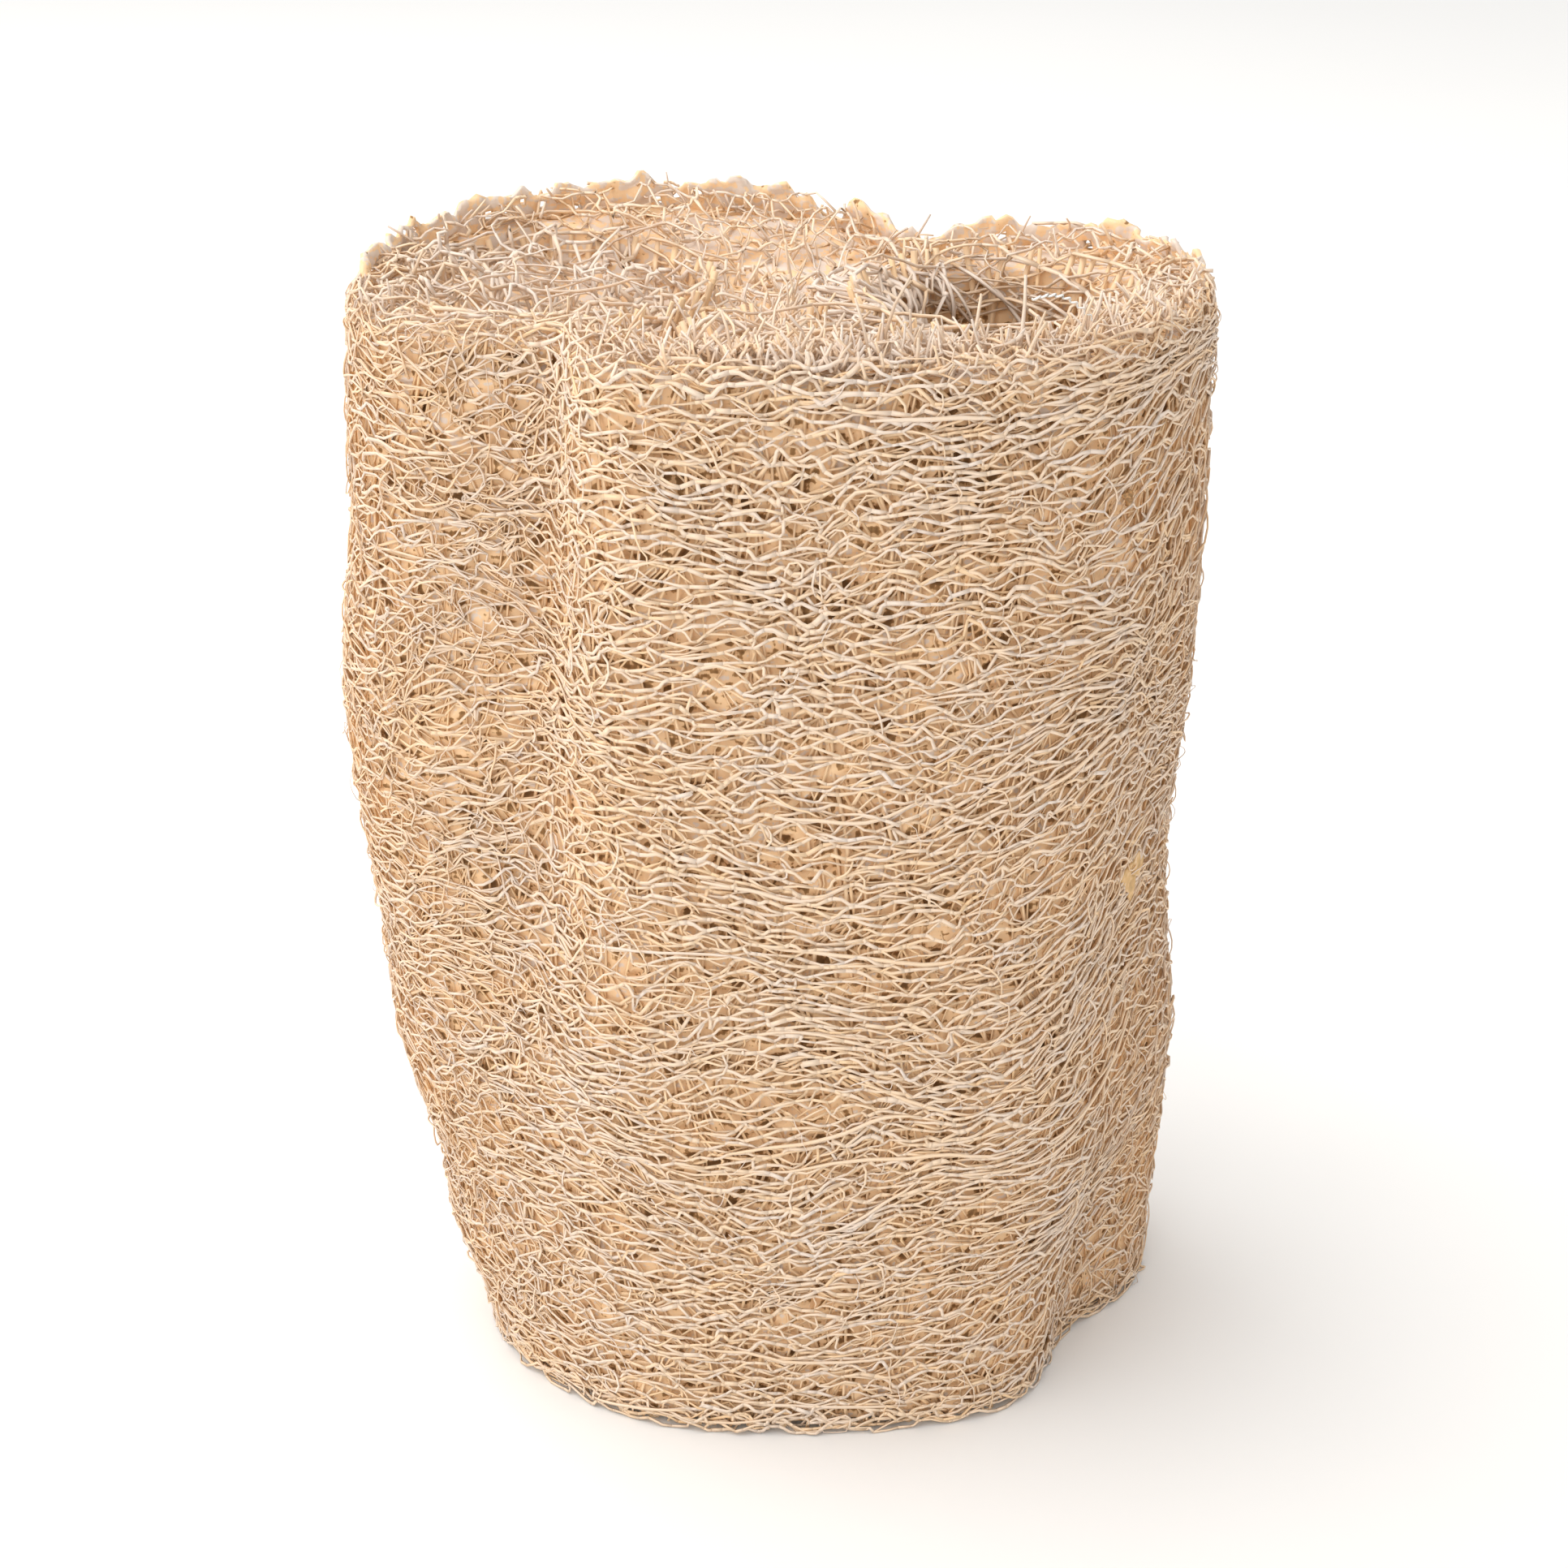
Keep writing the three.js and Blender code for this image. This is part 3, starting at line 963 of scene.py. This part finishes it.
class LOOFAH_OT_cut_faces(Operator):
    """Open polygon net of the cut flesh, in two layers at the upper cut and one at the lower"""

    bl_idname = "loofah.cut_faces"
    bl_label = "Cut faces"

    def execute(self, context):
        rng = numbers(context, 6)

        def upper(x, y, depth):
            return np.stack([x, y, cut_level(x, y, 4 * MM) - depth], -1)

        def lower(x, y, depth):
            return np.stack([x, y, np.maximum(depth, 0.35 * MM)], -1)

        upper_layers = (0.3 * MM, 3.4 * MM), (1.4 * MM, 2.8 * MM), (2.6 * MM, 2.6 * MM)
        lower_layers = (0.6 * MM, 3.6 * MM), (1.5 * MM, 3.4 * MM)
        for name, place, z, layers in (
            ("upper_cut_net", upper, HEIGHT, upper_layers),
            ("lower_cut_net", lower, 0, lower_layers),
        ):
            fibres = []
            for depth, cell in layers:
                fibres += self.layer(rng, place, z, depth, cell)
            make_fibres(name, fibres)
        return {"FINISHED"}

    def layer(self, rng, place, z, depth, cell):
        """A net on a flat sheet wider than the cut, kept only where it lies on the flesh. Its tone
        gets darker with its depth: painted shade."""

        def sheet(way, height, down):
            return place(way - SHEET_WIDE / 2, height, down)

        size = cell, 1.45 * cell
        paths = net_paths(rng, *size, -SHEET_DEEP, SHEET_DEEP, SHEET_WIDE, even(0.65))
        # Tone lower the deeper the layer lies: painted shade
        tone = 0.88 - depth / (26 * MM), 0.10
        fibres = net_fibres(rng, paths, sheet, depth, 0.55 * MM, thickness=0.50 * MM, tone=tone)
        return only(fibres, lambda p: on_flesh(p[..., 0], p[..., 1], z, 0.4 * MM).all(1))


class LOOFAH_OT_rim_nets(Operator):
    """Rounder net that turns over both cut edges and leaves small open loops along them"""

    bl_idname = "loofah.rim_nets"
    bl_label = "Rim nets"

    def execute(self, context):
        rng = numbers(context, 10)
        fibres = self.turned(rng, self.upper(3.1 * MM), 9.5 * MM, 3.0 * MM, 0.84)
        for radius in (3.1 * MM, 2.2 * MM):
            fibres += self.turned(rng, self.lower(0.8 * radius), 5 * MM, 3.0 * MM, 0.76)
        fibres += self.turned(rng, self.foot, 2.2 * MM, 2.6 * MM, 0.78)
        make_fibres("rim_nets", fibres)
        return {"FINISHED"}

    def foot(self, way, along, depth):
        """Small loops that hang to the floor under the lower edge, and leave gaps between them."""
        angle = angle_at(way)
        hang = np.clip(0.75 + 0.45 * drift(way, 0 * way, 46, 8 * MM), 0.2, 1)
        reach = outline(angle, 0) - 1.1 * MM - depth - 0.3 * along
        return polar(reach, angle, np.maximum(2.3 * MM - along * hang, 0.22 * MM))

    def turned(self, rng, place, width, cell, tone):
        """A net on a strip as wide as the turn is long."""
        paths = net_paths(rng, cell, 0.72 * cell, 0, width, LOOP, even(0.45))
        return net_fibres(rng, paths, place, 0, 0.22 * MM, thickness=0.46 * MM, tone=(tone, 0.07))

    def upper(self, radius):
        """Half a turn over the upper edge: from the skin up, over and down inside. Its crest rises
        and sinks along the edge."""

        def place(way, along, depth):
            turn = np.clip(along / (math.pi * radius), 0, 1) * math.pi
            crest = (radius - depth) * np.sin(turn)
            wavy = 1 + 0.15 * drift(way, 0 * way, 41, 7 * MM)
            wavy = wavy + 0.05 * drift(way, 0 * way, 42, 3 * MM)
            inset = radius * (1 - np.cos(turn)) + 0.7 * MM + 0.5 * depth
            lower = HEIGHT - 3.0 * MM * (1 + 0.25 * np.cos(turn))
            angle = angle_at(way)
            reach = outline(angle, HEIGHT) - inset
            back = 4.4 * MM * step(np.sin(angle), 0.0, 0.6)
            return polar(reach, angle, lower + crest * wavy + cut_rise(angle) - back)

        return place

    def lower(self, radius):
        """A quarter turn under the lower edge: from the skin down and inwards."""

        def place(way, along, depth):
            turn = np.clip(along / (0.5 * math.pi * radius), 0, 1.6)
            bent = np.minimum(turn, 1) * math.pi / 2
            inset = radius * (1 - np.cos(bent)) + radius * np.maximum(turn - 1, 0)
            z = radius * (1.1 - np.sin(bent))
            z = z * (1 + 0.3 * drift(way, 0 * way, 43, 9 * MM)) + 0.25 * MM
            angle = angle_at(way)
            reach = outline(angle, 0) - inset - 0.3 * MM - 0.5 * depth
            return polar(reach, angle, np.maximum(z, 0.25 * MM))

        return place


class LOOFAH_OT_rim_wall(Operator):
    """Thin felted wall round the upper cut, with a scalloped edge and small holes under it"""

    bl_idname = "loofah.rim_wall"
    bl_label = "Rim wall"

    def execute(self, context):
        rng = numbers(context, 11)
        columns, rows = 430, 12
        way = (np.arange(columns) * LOOP / columns)[:, None] + np.zeros((1, rows))
        up = np.linspace(0, 1, rows) ** 0.8
        angle = angle_at(way)
        scallops = 0.40 * MM * drift(way, 0, 61, 4.5 * MM)
        scallops = scallops + 0.42 * MM * drift(way, 0, 62, 1.9 * MM)
        scallops = scallops * (1 + 1.6 * bell(angle, 77, 10))
        front = 1 - step(np.sin(angle), -0.42, 0.05)
        low = HEIGHT - 7 * MM
        top = HEIGHT + 0.1 * MM + np.clip(scallops, -2.2 * MM, 1.0 * MM) - 3.8 * MM * front
        z = low + (top - low) * up
        gone, way, z = self.punched(rng, way, z)
        angle = angle_at(way)
        ripple = 0.30 * MM * drift(way, z, 63, 2.4 * MM)
        reach = outline(angle, HEIGHT) - 1.6 * MM + ripple - (0.1 + 1.2 * front) * MM * up**2
        jitter = 0.07 * MM * rng.normal(0, 1, (columns, rows))
        points = polar(reach, angle, z + jitter + cut_rise(angle))
        index = np.arange(columns * rows).reshape(columns, rows)
        after = np.roll(index, -1, 0)
        quads = np.stack([index[:, :-1], after[:, :-1], after[:, 1:], index[:, 1:]], -1)
        mesh = polygon_mesh("rim_wall", points, quads[~gone].tolist())
        smooth(mesh)
        set_tone(mesh, 2.1 + 0.3 * drift(way, z, 64, 2.5 * MM))
        wall = finish_piece(linked("rim_wall", mesh), felt(context))
        shell = wall.modifiers.new("thickness", "SOLIDIFY")
        shell.thickness, shell.offset = WALL, 0
        return {"FINISHED"}

    def punched(self, rng, way, z):
        """Which quads are gone, and the points moved away from them. A point at a distance d from a
        hole's middle, less than R, moves out to r + d (1 - r / R)."""
        columns, rows = way.shape
        gone = np.zeros((columns, rows - 1), bool)
        count, apart, far = 46, 4, 1.7 * MM
        for column in rng.choice(columns // apart, count, replace=False) * apart:
            row = rng.integers(rows - 6, rows - 2)
            gone[column, row] = True
            size = rng.uniform(0.15, 0.65) * MM
            dx = (way - way[column, row] - 0.5 * LOOP / columns + LOOP / 2) % LOOP - LOOP / 2
            dz = z - 0.5 * (z[column, row] + z[column, row + 1])
            away = np.hypot(0.8 * dx, dz)
            move = np.where(away < far, size / np.maximum(away, 0.1 * MM) - size / far, 0)
            way, z = way + move * dx, z + move * dz
        return gone, way, z


class LOOFAH_OT_frayed_ends(Operator):
    """Cut fibre ends that stand up from the upper cut, dense along its front rim"""

    bl_idname = "loofah.frayed_ends"
    bl_label = "Frayed ends"

    def execute(self, context):
        rng = numbers(context, 7)
        length = context.scene.loofah_sizes.end_length
        count, along_rim, widest = 4600, 0.6, 0.985
        angle = rng.uniform(0, 2 * math.pi, count)
        rim = rng.random(count) < along_rim
        near, anywhere = (rng.uniform(1 * MM, most * MM, count) for most in (9, 42))
        radius = outline(angle, HEIGHT) - np.where(rim, near, anywhere)
        x, y = radius * np.cos(angle), radius * np.sin(angle)
        front = np.maximum(bell(angle, 280, 36), 0.7 * bell(angle, 335, 14))
        share = np.where(rim, 0.01 + 0.99 * front, 0.2 + 0.4 * front)
        kept = on_flesh(x, y, HEIGHT, 0.6 * MM, "front")
        kept &= (radius > 0) & (rng.random(count) < share)
        x, y = x[kept], y[kept]
        tall = length * rng.lognormal(-0.1, 0.35, len(x))
        lean = rng.normal(0, 0.5, (len(x), 2))
        bend = rng.normal(0, 0.25, (len(x), 2))
        t = np.linspace(0, 1, 4)
        rise = (tall / np.sqrt(1 + (lean**2).sum(1)))[:, None] * t
        px = x[:, None] + rise * (lean[:, :1] + t * bend[:, :1])
        py = y[:, None] + rise * (lean[:, 1:] + t * bend[:, 1:])
        pz = cut_level(x, y, 4 * MM)[:, None] - 1.4 * MM + rise
        thick = rng.uniform(0.15 * MM, 0.28 * MM, (len(x), 1)) * (1 - 0.35 * t)
        tone = rng.normal(0.86, 0.08, (len(x), 1))
        fits = share_at(px, py).max(1) < widest
        ends = tuple(item[fits] for item in (np.stack([px, py, pz], -1), thick, tone))
        make_fibres("frayed_ends", [ends])
        return {"FINISHED"}


class LOOFAH_OT_channel_fibres(Operator):
    """Nests in the left and front channels, and wall arcs and poured strands in the right one"""

    bl_idname = "loofah.channel_fibres"
    bl_label = "Channel fibres"

    def execute(self, context):
        rng = numbers(context, 8)
        thin = 0.14, 0.26
        nest = [
            self.crossings(rng, "left", 22, drop=(0.0, 2.5), thickness=(0.15, 0.26), tone=0.94),
            self.arcs(
                rng, "left", 14, start=(0, 190), span=(20, 60), sag=(-0.22, 0.05),
                drop=(1, 6), thickness=(0.14, 0.25), tone=0.84,
            ),
            self.crossings(rng, "front", 24, drop=(0.8, 5.0), thickness=thin, tone=0.86),
        ]
        # Deeper layers of the nests get a lower tone: painted shade of lying deeper
        for depth, tone in ((0.2, 0.94), (1.5, 0.90), (3.0, 0.86)):
            nest += self.netted(rng, "left", depth * MM, 1.1 * MM, tone)
        for depth, tone in ((0.8, 0.88), (2.4, 0.82)):
            nest += self.netted(rng, "front", depth * MM, 0.8 * MM, tone)
        make_fibres("left_channel_nest", nest)
        right = [
            self.arcs(
                rng, "right", 90, start=(-30, 140), span=(18, 80), sag=(-0.05, 0.16),
                drop=(1, 22), thickness=thin, tone=0.86,
            ),
            self.arcs(
                rng, "right", 40, start=(150, 260), span=(40, 120), sag=(0.0, 0.5),
                drop=(4, 16), thickness=(0.16, 0.30), tone=0.84,
            ),
            self.poured(rng, "right", 84, start=(112, 244), tone=1.02),
        ]
        for depth in (-0.4, 0.8, 2.0):
            right += self.netted(
                rng, "right", depth * MM, 0.7 * MM, 0.97, pour=10 * MM, sides=(105, 248)
            )
        make_fibres("right_channel_fibres", right)
        return {"FINISHED"}

    def mouth(self, name, x, y):
        """Distance from the middle of a channel's mouth, 1 on its edge, and the angle there."""
        centre, reach = channel_oval(name, HEIGHT)
        away = (x - centre[0]) / reach[0], (y - centre[1]) / reach[1]
        return np.hypot(*away), np.arctan2(away[1], away[0])

    def netted(self, rng, name, depth, rough, tone, pour=0.0, sides=None):
        """A crumpled net over a channel's mouth: the cut's level less a depth, deeper at the back,
        and falling by the pour towards the middle. Of a pouring net only the given sides stay."""

        def sheet(way, height, down):
            x, y = way - SHEET_WIDE / 2, height
            fall = pour * step(1.0 - self.mouth(name, x, y)[0], 0, 0.6)
            back = 0 if pour else 2.4 * MM * back_dip(y)
            return np.stack([x, y, cut_level(x, y) - down - back - fall], -1)

        def in_mouth(p):
            away, angle = self.mouth(name, p[..., 0], p[..., 1])
            kept = away < 1.12
            if sides:
                turned = (np.degrees(angle) - sides[0]) % 360
                kept &= (turned < sides[1] - sides[0]) & (away > 0.38)
            return kept.all(1)

        cell = 3.6 * MM, 4.4 * MM
        paths = net_paths(rng, *cell, -SHEET_DEEP, SHEET_DEEP, SHEET_WIDE, even(0.7))
        fibres = net_fibres(
            rng, paths, sheet, depth, rough, thickness=0.70 * MM, tone=(tone, 0.08), slim=0.85
        )
        return only(fibres, in_mouth)

    def crossings(self, rng, name, count, drop, thickness, tone):
        """Curved fibres that start on a channel's oval and cross it: the heading points inwards,
        give or take, and turns at a steady rate."""
        points = 11
        evenly, about = draws(rng, count)
        first = evenly(0, 2 * math.pi)
        run = evenly(6 * MM, 16 * MM) / (points - 1)
        turning = about(0, 0.12) + rng.normal(0, 0.14, (count, points))
        heading = first + math.pi + about(0, 0.9) + np.cumsum(turning, 1)
        t = np.linspace(0, 1, points)
        z = HEIGHT - evenly(*drop) * MM + about(0, 2.2 * MM) * (t - 0.5)
        z = np.minimum(z + evenly(-1.2 * MM, 1.6 * MM) * np.sin(math.pi * t), HEIGHT)
        centre, reach = channel_oval(name, z)
        out = evenly(0.3, 1.18)
        dx = out * reach[0] * np.cos(first) + np.cumsum(run * np.cos(heading), 1)
        dy = out * reach[1] * np.sin(first) + np.cumsum(run * np.sin(heading), 1)
        away = np.hypot(dx / reach[0], dy / reach[1])
        pull = np.minimum(1, 1.2 / np.maximum(away, 0.01))
        x, y = centre[0] + dx * pull, centre[1] + dy * pull
        z = z + mouth_rise(x, y) - 2.6 * MM * back_dip(y)
        radius = evenly(*thickness) * MM * (1 - 0.3 * np.abs(2 * t - 1))
        return np.stack([x, y, z], -1), radius, about(tone, 0.07)

    def arcs(self, rng, name, count, start, span, sag, drop, thickness, tone):
        """Arcs between two points of a channel's oval. On the way from one angle to the next the
        distance from the centre shrinks by the sag and the height sinks, both as a half sine."""
        points = 12
        evenly, about = draws(rng, count)
        t = np.linspace(0, 1, points)
        first, turn = np.radians(evenly(*start)), np.radians(evenly(*span))
        angle = first + turn * t + 0.02 * rng.normal(0, 1, (count, points))
        shrink = 1.04 - evenly(*sag) * np.sin(math.pi * t) ** 1.5
        shrink = shrink + 0.02 * rng.normal(0, 1, (count, points))
        sink = about(0, 1.6 * MM) * np.sin(math.pi * t)
        tilt = about(0, 3.0 * MM) * (t - 0.5)
        z = HEIGHT - evenly(*drop) * MM + tilt - sink
        radius = evenly(*thickness) * MM * (1 - 0.3 * np.abs(2 * t - 1))
        paths = self.in_channel(name, angle, shrink, np.minimum(z, HEIGHT - 0.5 * MM))
        return paths, radius, about(tone, 0.07)

    def poured(self, rng, name, count, start, tone):
        """Strands that come over a channel's edge from the flesh beside it and pour down its
        wall."""
        evenly, about = draws(rng, count)
        t = np.linspace(0, 1, 14)
        first, turn = np.radians(evenly(*start)), np.radians(about(0, 42))
        outside = evenly(0.10, 0.42) * (1 - step(t, 0.15, 0.5))
        bulge = evenly(0.0, 0.30) * np.sin(math.pi * np.clip(1.4 * t - 0.4, 0, 1))
        fall = evenly(5 * MM, 16 * MM) * np.clip(t - 0.28, 0, 1) ** 1.3
        z = HEIGHT - DISH + evenly(-0.8 * MM, 1.2 * MM) - 0.5 * MM * t - fall
        radius = evenly(0.20 * MM, 0.40 * MM) * (1 - 0.25 * np.abs(2 * t - 1))
        paths = self.in_channel(name, first + turn * t, 1 + outside - bulge, z)
        return paths, radius, about(tone, 0.06)

    def in_channel(self, name, angle, share, z):
        """Points at an angle and a share of the oval's half widths, at height z of the sloping
        cut."""
        points = on_oval(name, z, angle, share=share)
        points[..., 2] += mouth_rise(points[..., 0], points[..., 1])
        return points


class LOOFAH_OT_channel_pads(Operator):
    """Felted pads in the filled channels, a little under the upper cut, that close their nests"""

    bl_idname = "loofah.channel_pads"
    bl_label = "Channel pads"

    def execute(self, context):
        t = np.linspace(0.03, 1, 16)[:, None]
        angle = round_angles(56)
        overlap, thick, tone = 1.6 * MM, 1.0 * MM, 2.3
        for name, depth in (("left", 3.5 * MM), ("front", 2.9 * MM)):
            x, y, _ = np.moveaxis(on_oval(name, HEIGHT - depth, angle, overlap, t), -1, 0)
            folds = np.sin(x / (2.1 * MM) + 1.3 * np.sin(y / (2.7 * MM)))
            wavy = 0.5 * MM * folds * np.sin(y / (1.9 * MM))
            z = cut_level(x, y) - depth - 2.0 * MM * back_dip(y) + wavy
            upper = np.stack([x, y, z], -1)
            rings = np.concatenate([upper - (0, 0, thick), upper[::-1]])
            mesh = lofted(name + "_channel_pad", rings)
            set_tone(mesh, np.full(len(mesh.vertices), tone))
            finish_piece(linked(name + "_channel_pad", mesh), felt(context))
        return {"FINISHED"}


class LOOFAH_OT_curls(Operator):
    """Short curly fibres over the tangled parts of the skin, and fine loose hairs"""

    bl_idname = "loofah.curls"
    bl_label = "Curls and hairs"

    def execute(self, context):
        rng = numbers(context, 9)
        curls = self.walks(
            rng, 3800, tangled=True, length=(2.5, 8), thickness=(0.10, 0.19), depth=(-0.35, 0.6),
            turning=0.35, tone=(0.78, 0.07),
        )
        make_fibres("curls", [curls])
        hairs = self.walks(
            rng, 420, tangled=False, length=(1.5, 6), thickness=(0.05, 0.09), depth=(-0.6, 0.2),
            turning=0.22, tone=(0.97, 0.04),
        )
        make_fibres("loose_hairs", [hairs])
        return {"FINISHED"}

    def walks(self, rng, count, tangled, length, thickness, depth, turning, tone):
        """Paths on the skin that set off any way and keep turning: the heading is a start angle
        plus a steady turn plus small random ones."""
        points = 7
        way = rng.uniform(0, LOOP, (count, 1))
        height = rng.uniform(1 * MM, HEIGHT - 1 * MM, (count, 1))
        if tangled:
            messy = rng.random(count) < 1.4 * (tangle_at(way, height)[:, 0] - 0.12)
            way, height = way[messy], height[messy]
        n = len(way)
        evenly, about = draws(rng, n)
        heading = about(0, 1.0)
        heading = heading + np.arange(points) * turning * about(0, 1.3)
        heading = heading + rng.normal(0, 0.18, (n, points))
        run = evenly(*length) * MM / (points - 1)
        way = way + np.cumsum(run * np.cos(heading), 1)
        height = height + np.cumsum(run * np.sin(heading), 1)
        t = np.linspace(0, 1, points)
        arch = evenly(0, 1) * np.sin(math.pi * t)
        deep = (depth[1] + (depth[0] - depth[1]) * arch) * MM
        radius = evenly(*thickness) * MM * (1 - 0.4 * t)
        return skin_place(way, height, deep), radius, about(*tone)


class LOOFAH_OT_small_marks(Operator):
    """White curled fibre on the front rim, and a seed scrap and a skin flake caught in the net"""

    bl_idname = "loofah.small_marks"
    bl_label = "Small marks"

    def execute(self, context):
        t = np.linspace(0, 1, 90)
        turns = 8.5
        turn = 2 * math.pi * turns * t
        x = 24.0 + 6.0 * t + 0.13 * np.cos(turn)
        y = -22.5 - 1.2 * t + 0.15 * np.sin(turn)
        z = 131.0 + 0.9 * np.sin(math.pi * t) - 1.6 * t**2 + 0.10 * np.cos(turn)
        path = np.stack([x, y, z], -1)[None] * MM
        curl = path, 0.16 * MM * (1 - 0.5 * t**3), 1.0
        make_fibres("white_curl", [curl], thread_finish())
        colours = context.scene.loofah_colours
        self.chip("seed_scrap", (326.0, 111.2), (0.45, 0.6), 0.4, 0.35, seed_finish(colours))
        self.chip("skin_flake", (341.0, 63.5), (2.4, 2.4), 0.26, 0.1, flake_finish(colours))
        return {"FINISHED"}

    def chip(self, name, place, reach, corner, swell, finish):
        """Closed lens on the skin, at an angle in degrees and a height in millimetres: rings widen
        from the middle of its back to its edge and close again over its front. Its edge has three
        corners, and its front swells outwards by 1 - t^2."""
        rings = 9
        t = np.concatenate([np.linspace(0.05, 1, rings), np.linspace(1, 0.05, rings)])[:, None]
        angle = round_angles(36)
        edge = t / (1 + corner * np.cos(3 * angle + 1.2)) * (1 + 0.06 * np.sin(7 * angle))
        way = way_at(place[0]) + reach[0] * MM * edge * np.cos(angle)
        height = place[1] * MM + reach[1] * MM * edge * np.sin(angle)
        front = np.arange(2 * rings)[:, None] >= rings
        depth = np.where(front, 0.22 - swell * (1 - t**2), 0.55) * MM
        depth = depth + 0.10 * MM * np.sin(3 * angle + 5 * t)
        mesh = lofted(name, on_skin(way, height, depth))
        smooth(mesh)
        finish_piece(linked(name, mesh), finish)


class LOOFAH_OT_stage(Operator):
    """Pale floor, soft studio light and the camera"""

    bl_idname = "loofah.stage"
    bl_label = "Stage"

    def execute(self, context):
        stage = context.scene.loofah_stage
        self.floor(stage.floor_reach)
        power = stage.key_power
        self.light("key", (-0.98, -0.68, 0.90), 2.2, power, (1.0, 0.975, 0.94))
        self.light("top", (-0.42, 0.22, 1.0), 0.9, 0.38 * power, (1.0, 0.985, 0.96))
        world = context.scene.world or bpy.data.worlds.new("studio")
        context.scene.world = world
        world.use_nodes = True
        background = world.node_tree.nodes["Background"]
        background.inputs["Color"].default_value = (1.0, 0.99, 0.97, 1)
        background.inputs["Strength"].default_value = stage.sky
        context.scene.view_settings.view_transform = "Standard"
        self.camera(context, stage)
        return {"FINISHED"}

    def floor(self, reach):
        """Flat square grid at height 0."""
        lines = 9
        line = np.linspace(-reach, reach, lines)
        x, y = np.meshgrid(line, line, indexing="ij")
        index = np.arange(lines * lines).reshape(lines, lines)
        quads = np.stack([index[:-1, :-1], index[1:, :-1], index[1:, 1:], index[:-1, 1:]], -1)
        points = np.stack([x, y, 0 * x], -1)
        mesh = polygon_mesh("floor", points, quads.reshape(-1, 4).tolist())
        mesh.materials.append(floor_finish())
        linked("floor", mesh)

    def light(self, name, place, size, power, colour):
        """Square area light that faces the middle of the sponge."""
        lamp = bpy.data.lights.new(name, "AREA")
        lamp.size, lamp.energy, lamp.color = size, power, colour
        light = linked(name, lamp)
        light.location = place
        aim = Vector((0, 0, HEIGHT / 2)) - light.location
        light.rotation_euler = aim.to_track_quat("-Z", "Y").to_euler()

    def camera(self, context, stage):
        """Camera in front of the sponge, looking along +Y and down by its tilt."""
        lens = bpy.data.cameras.new("camera")
        lens.lens, lens.sensor_width = stage.lens, 36
        lens.clip_start = 0.01
        camera = linked("camera", lens)
        camera.location = (0, -stage.camera_distance, stage.camera_height)
        camera.rotation_euler = (math.radians(90) - stage.camera_tilt, 0, 0)
        context.scene.camera = camera


PIECES = (
    LOOFAH_OT_outer_net,
    LOOFAH_OT_long_strands,
    LOOFAH_OT_lengthwise_layer,
    LOOFAH_OT_middle_net,
    LOOFAH_OT_inner_mat,
    LOOFAH_OT_channel_walls,
    LOOFAH_OT_cut_faces,
    LOOFAH_OT_rim_nets,
    LOOFAH_OT_rim_wall,
    LOOFAH_OT_frayed_ends,
    LOOFAH_OT_channel_fibres,
    LOOFAH_OT_channel_pads,
    LOOFAH_OT_curls,
    LOOFAH_OT_small_marks,
    LOOFAH_OT_stage,
)


class LOOFAH_PT_pieces(Panel):
    """Lists the settings and the pieces"""

    bl_label = "Loofah"
    bl_idname = "LOOFAH_PT_pieces"
    bl_space_type = "VIEW_3D"
    bl_region_type = "UI"
    bl_category = "Loofah"

    def draw(self, context):
        scene = context.scene
        for group in (scene.loofah_sizes, scene.loofah_colours, scene.loofah_stage):
            box = self.layout.box()
            for name in group.bl_rna.properties.keys():
                if name not in ("rna_type", "name"):
                    box.prop(group, name)
        for piece in PIECES:
            self.layout.operator(piece.bl_idname)


CLASSES = (LoofahSizes, LoofahColours, LoofahStage, *PIECES, LOOFAH_PT_pieces)


def register():
    for cls in CLASSES:
        bpy.utils.register_class(cls)
    bpy.types.Scene.loofah_sizes = PointerProperty(type=LoofahSizes)
    bpy.types.Scene.loofah_colours = PointerProperty(type=LoofahColours)
    bpy.types.Scene.loofah_stage = PointerProperty(type=LoofahStage)


def unregister():
    del bpy.types.Scene.loofah_stage
    del bpy.types.Scene.loofah_colours
    del bpy.types.Scene.loofah_sizes
    for cls in reversed(CLASSES):
        bpy.utils.unregister_class(cls)


def main():
    register()
    for piece in PIECES:
        group, name = piece.bl_idname.split(".")
        getattr(getattr(bpy.ops, group), name)()


if __name__ == "__main__":
    main()
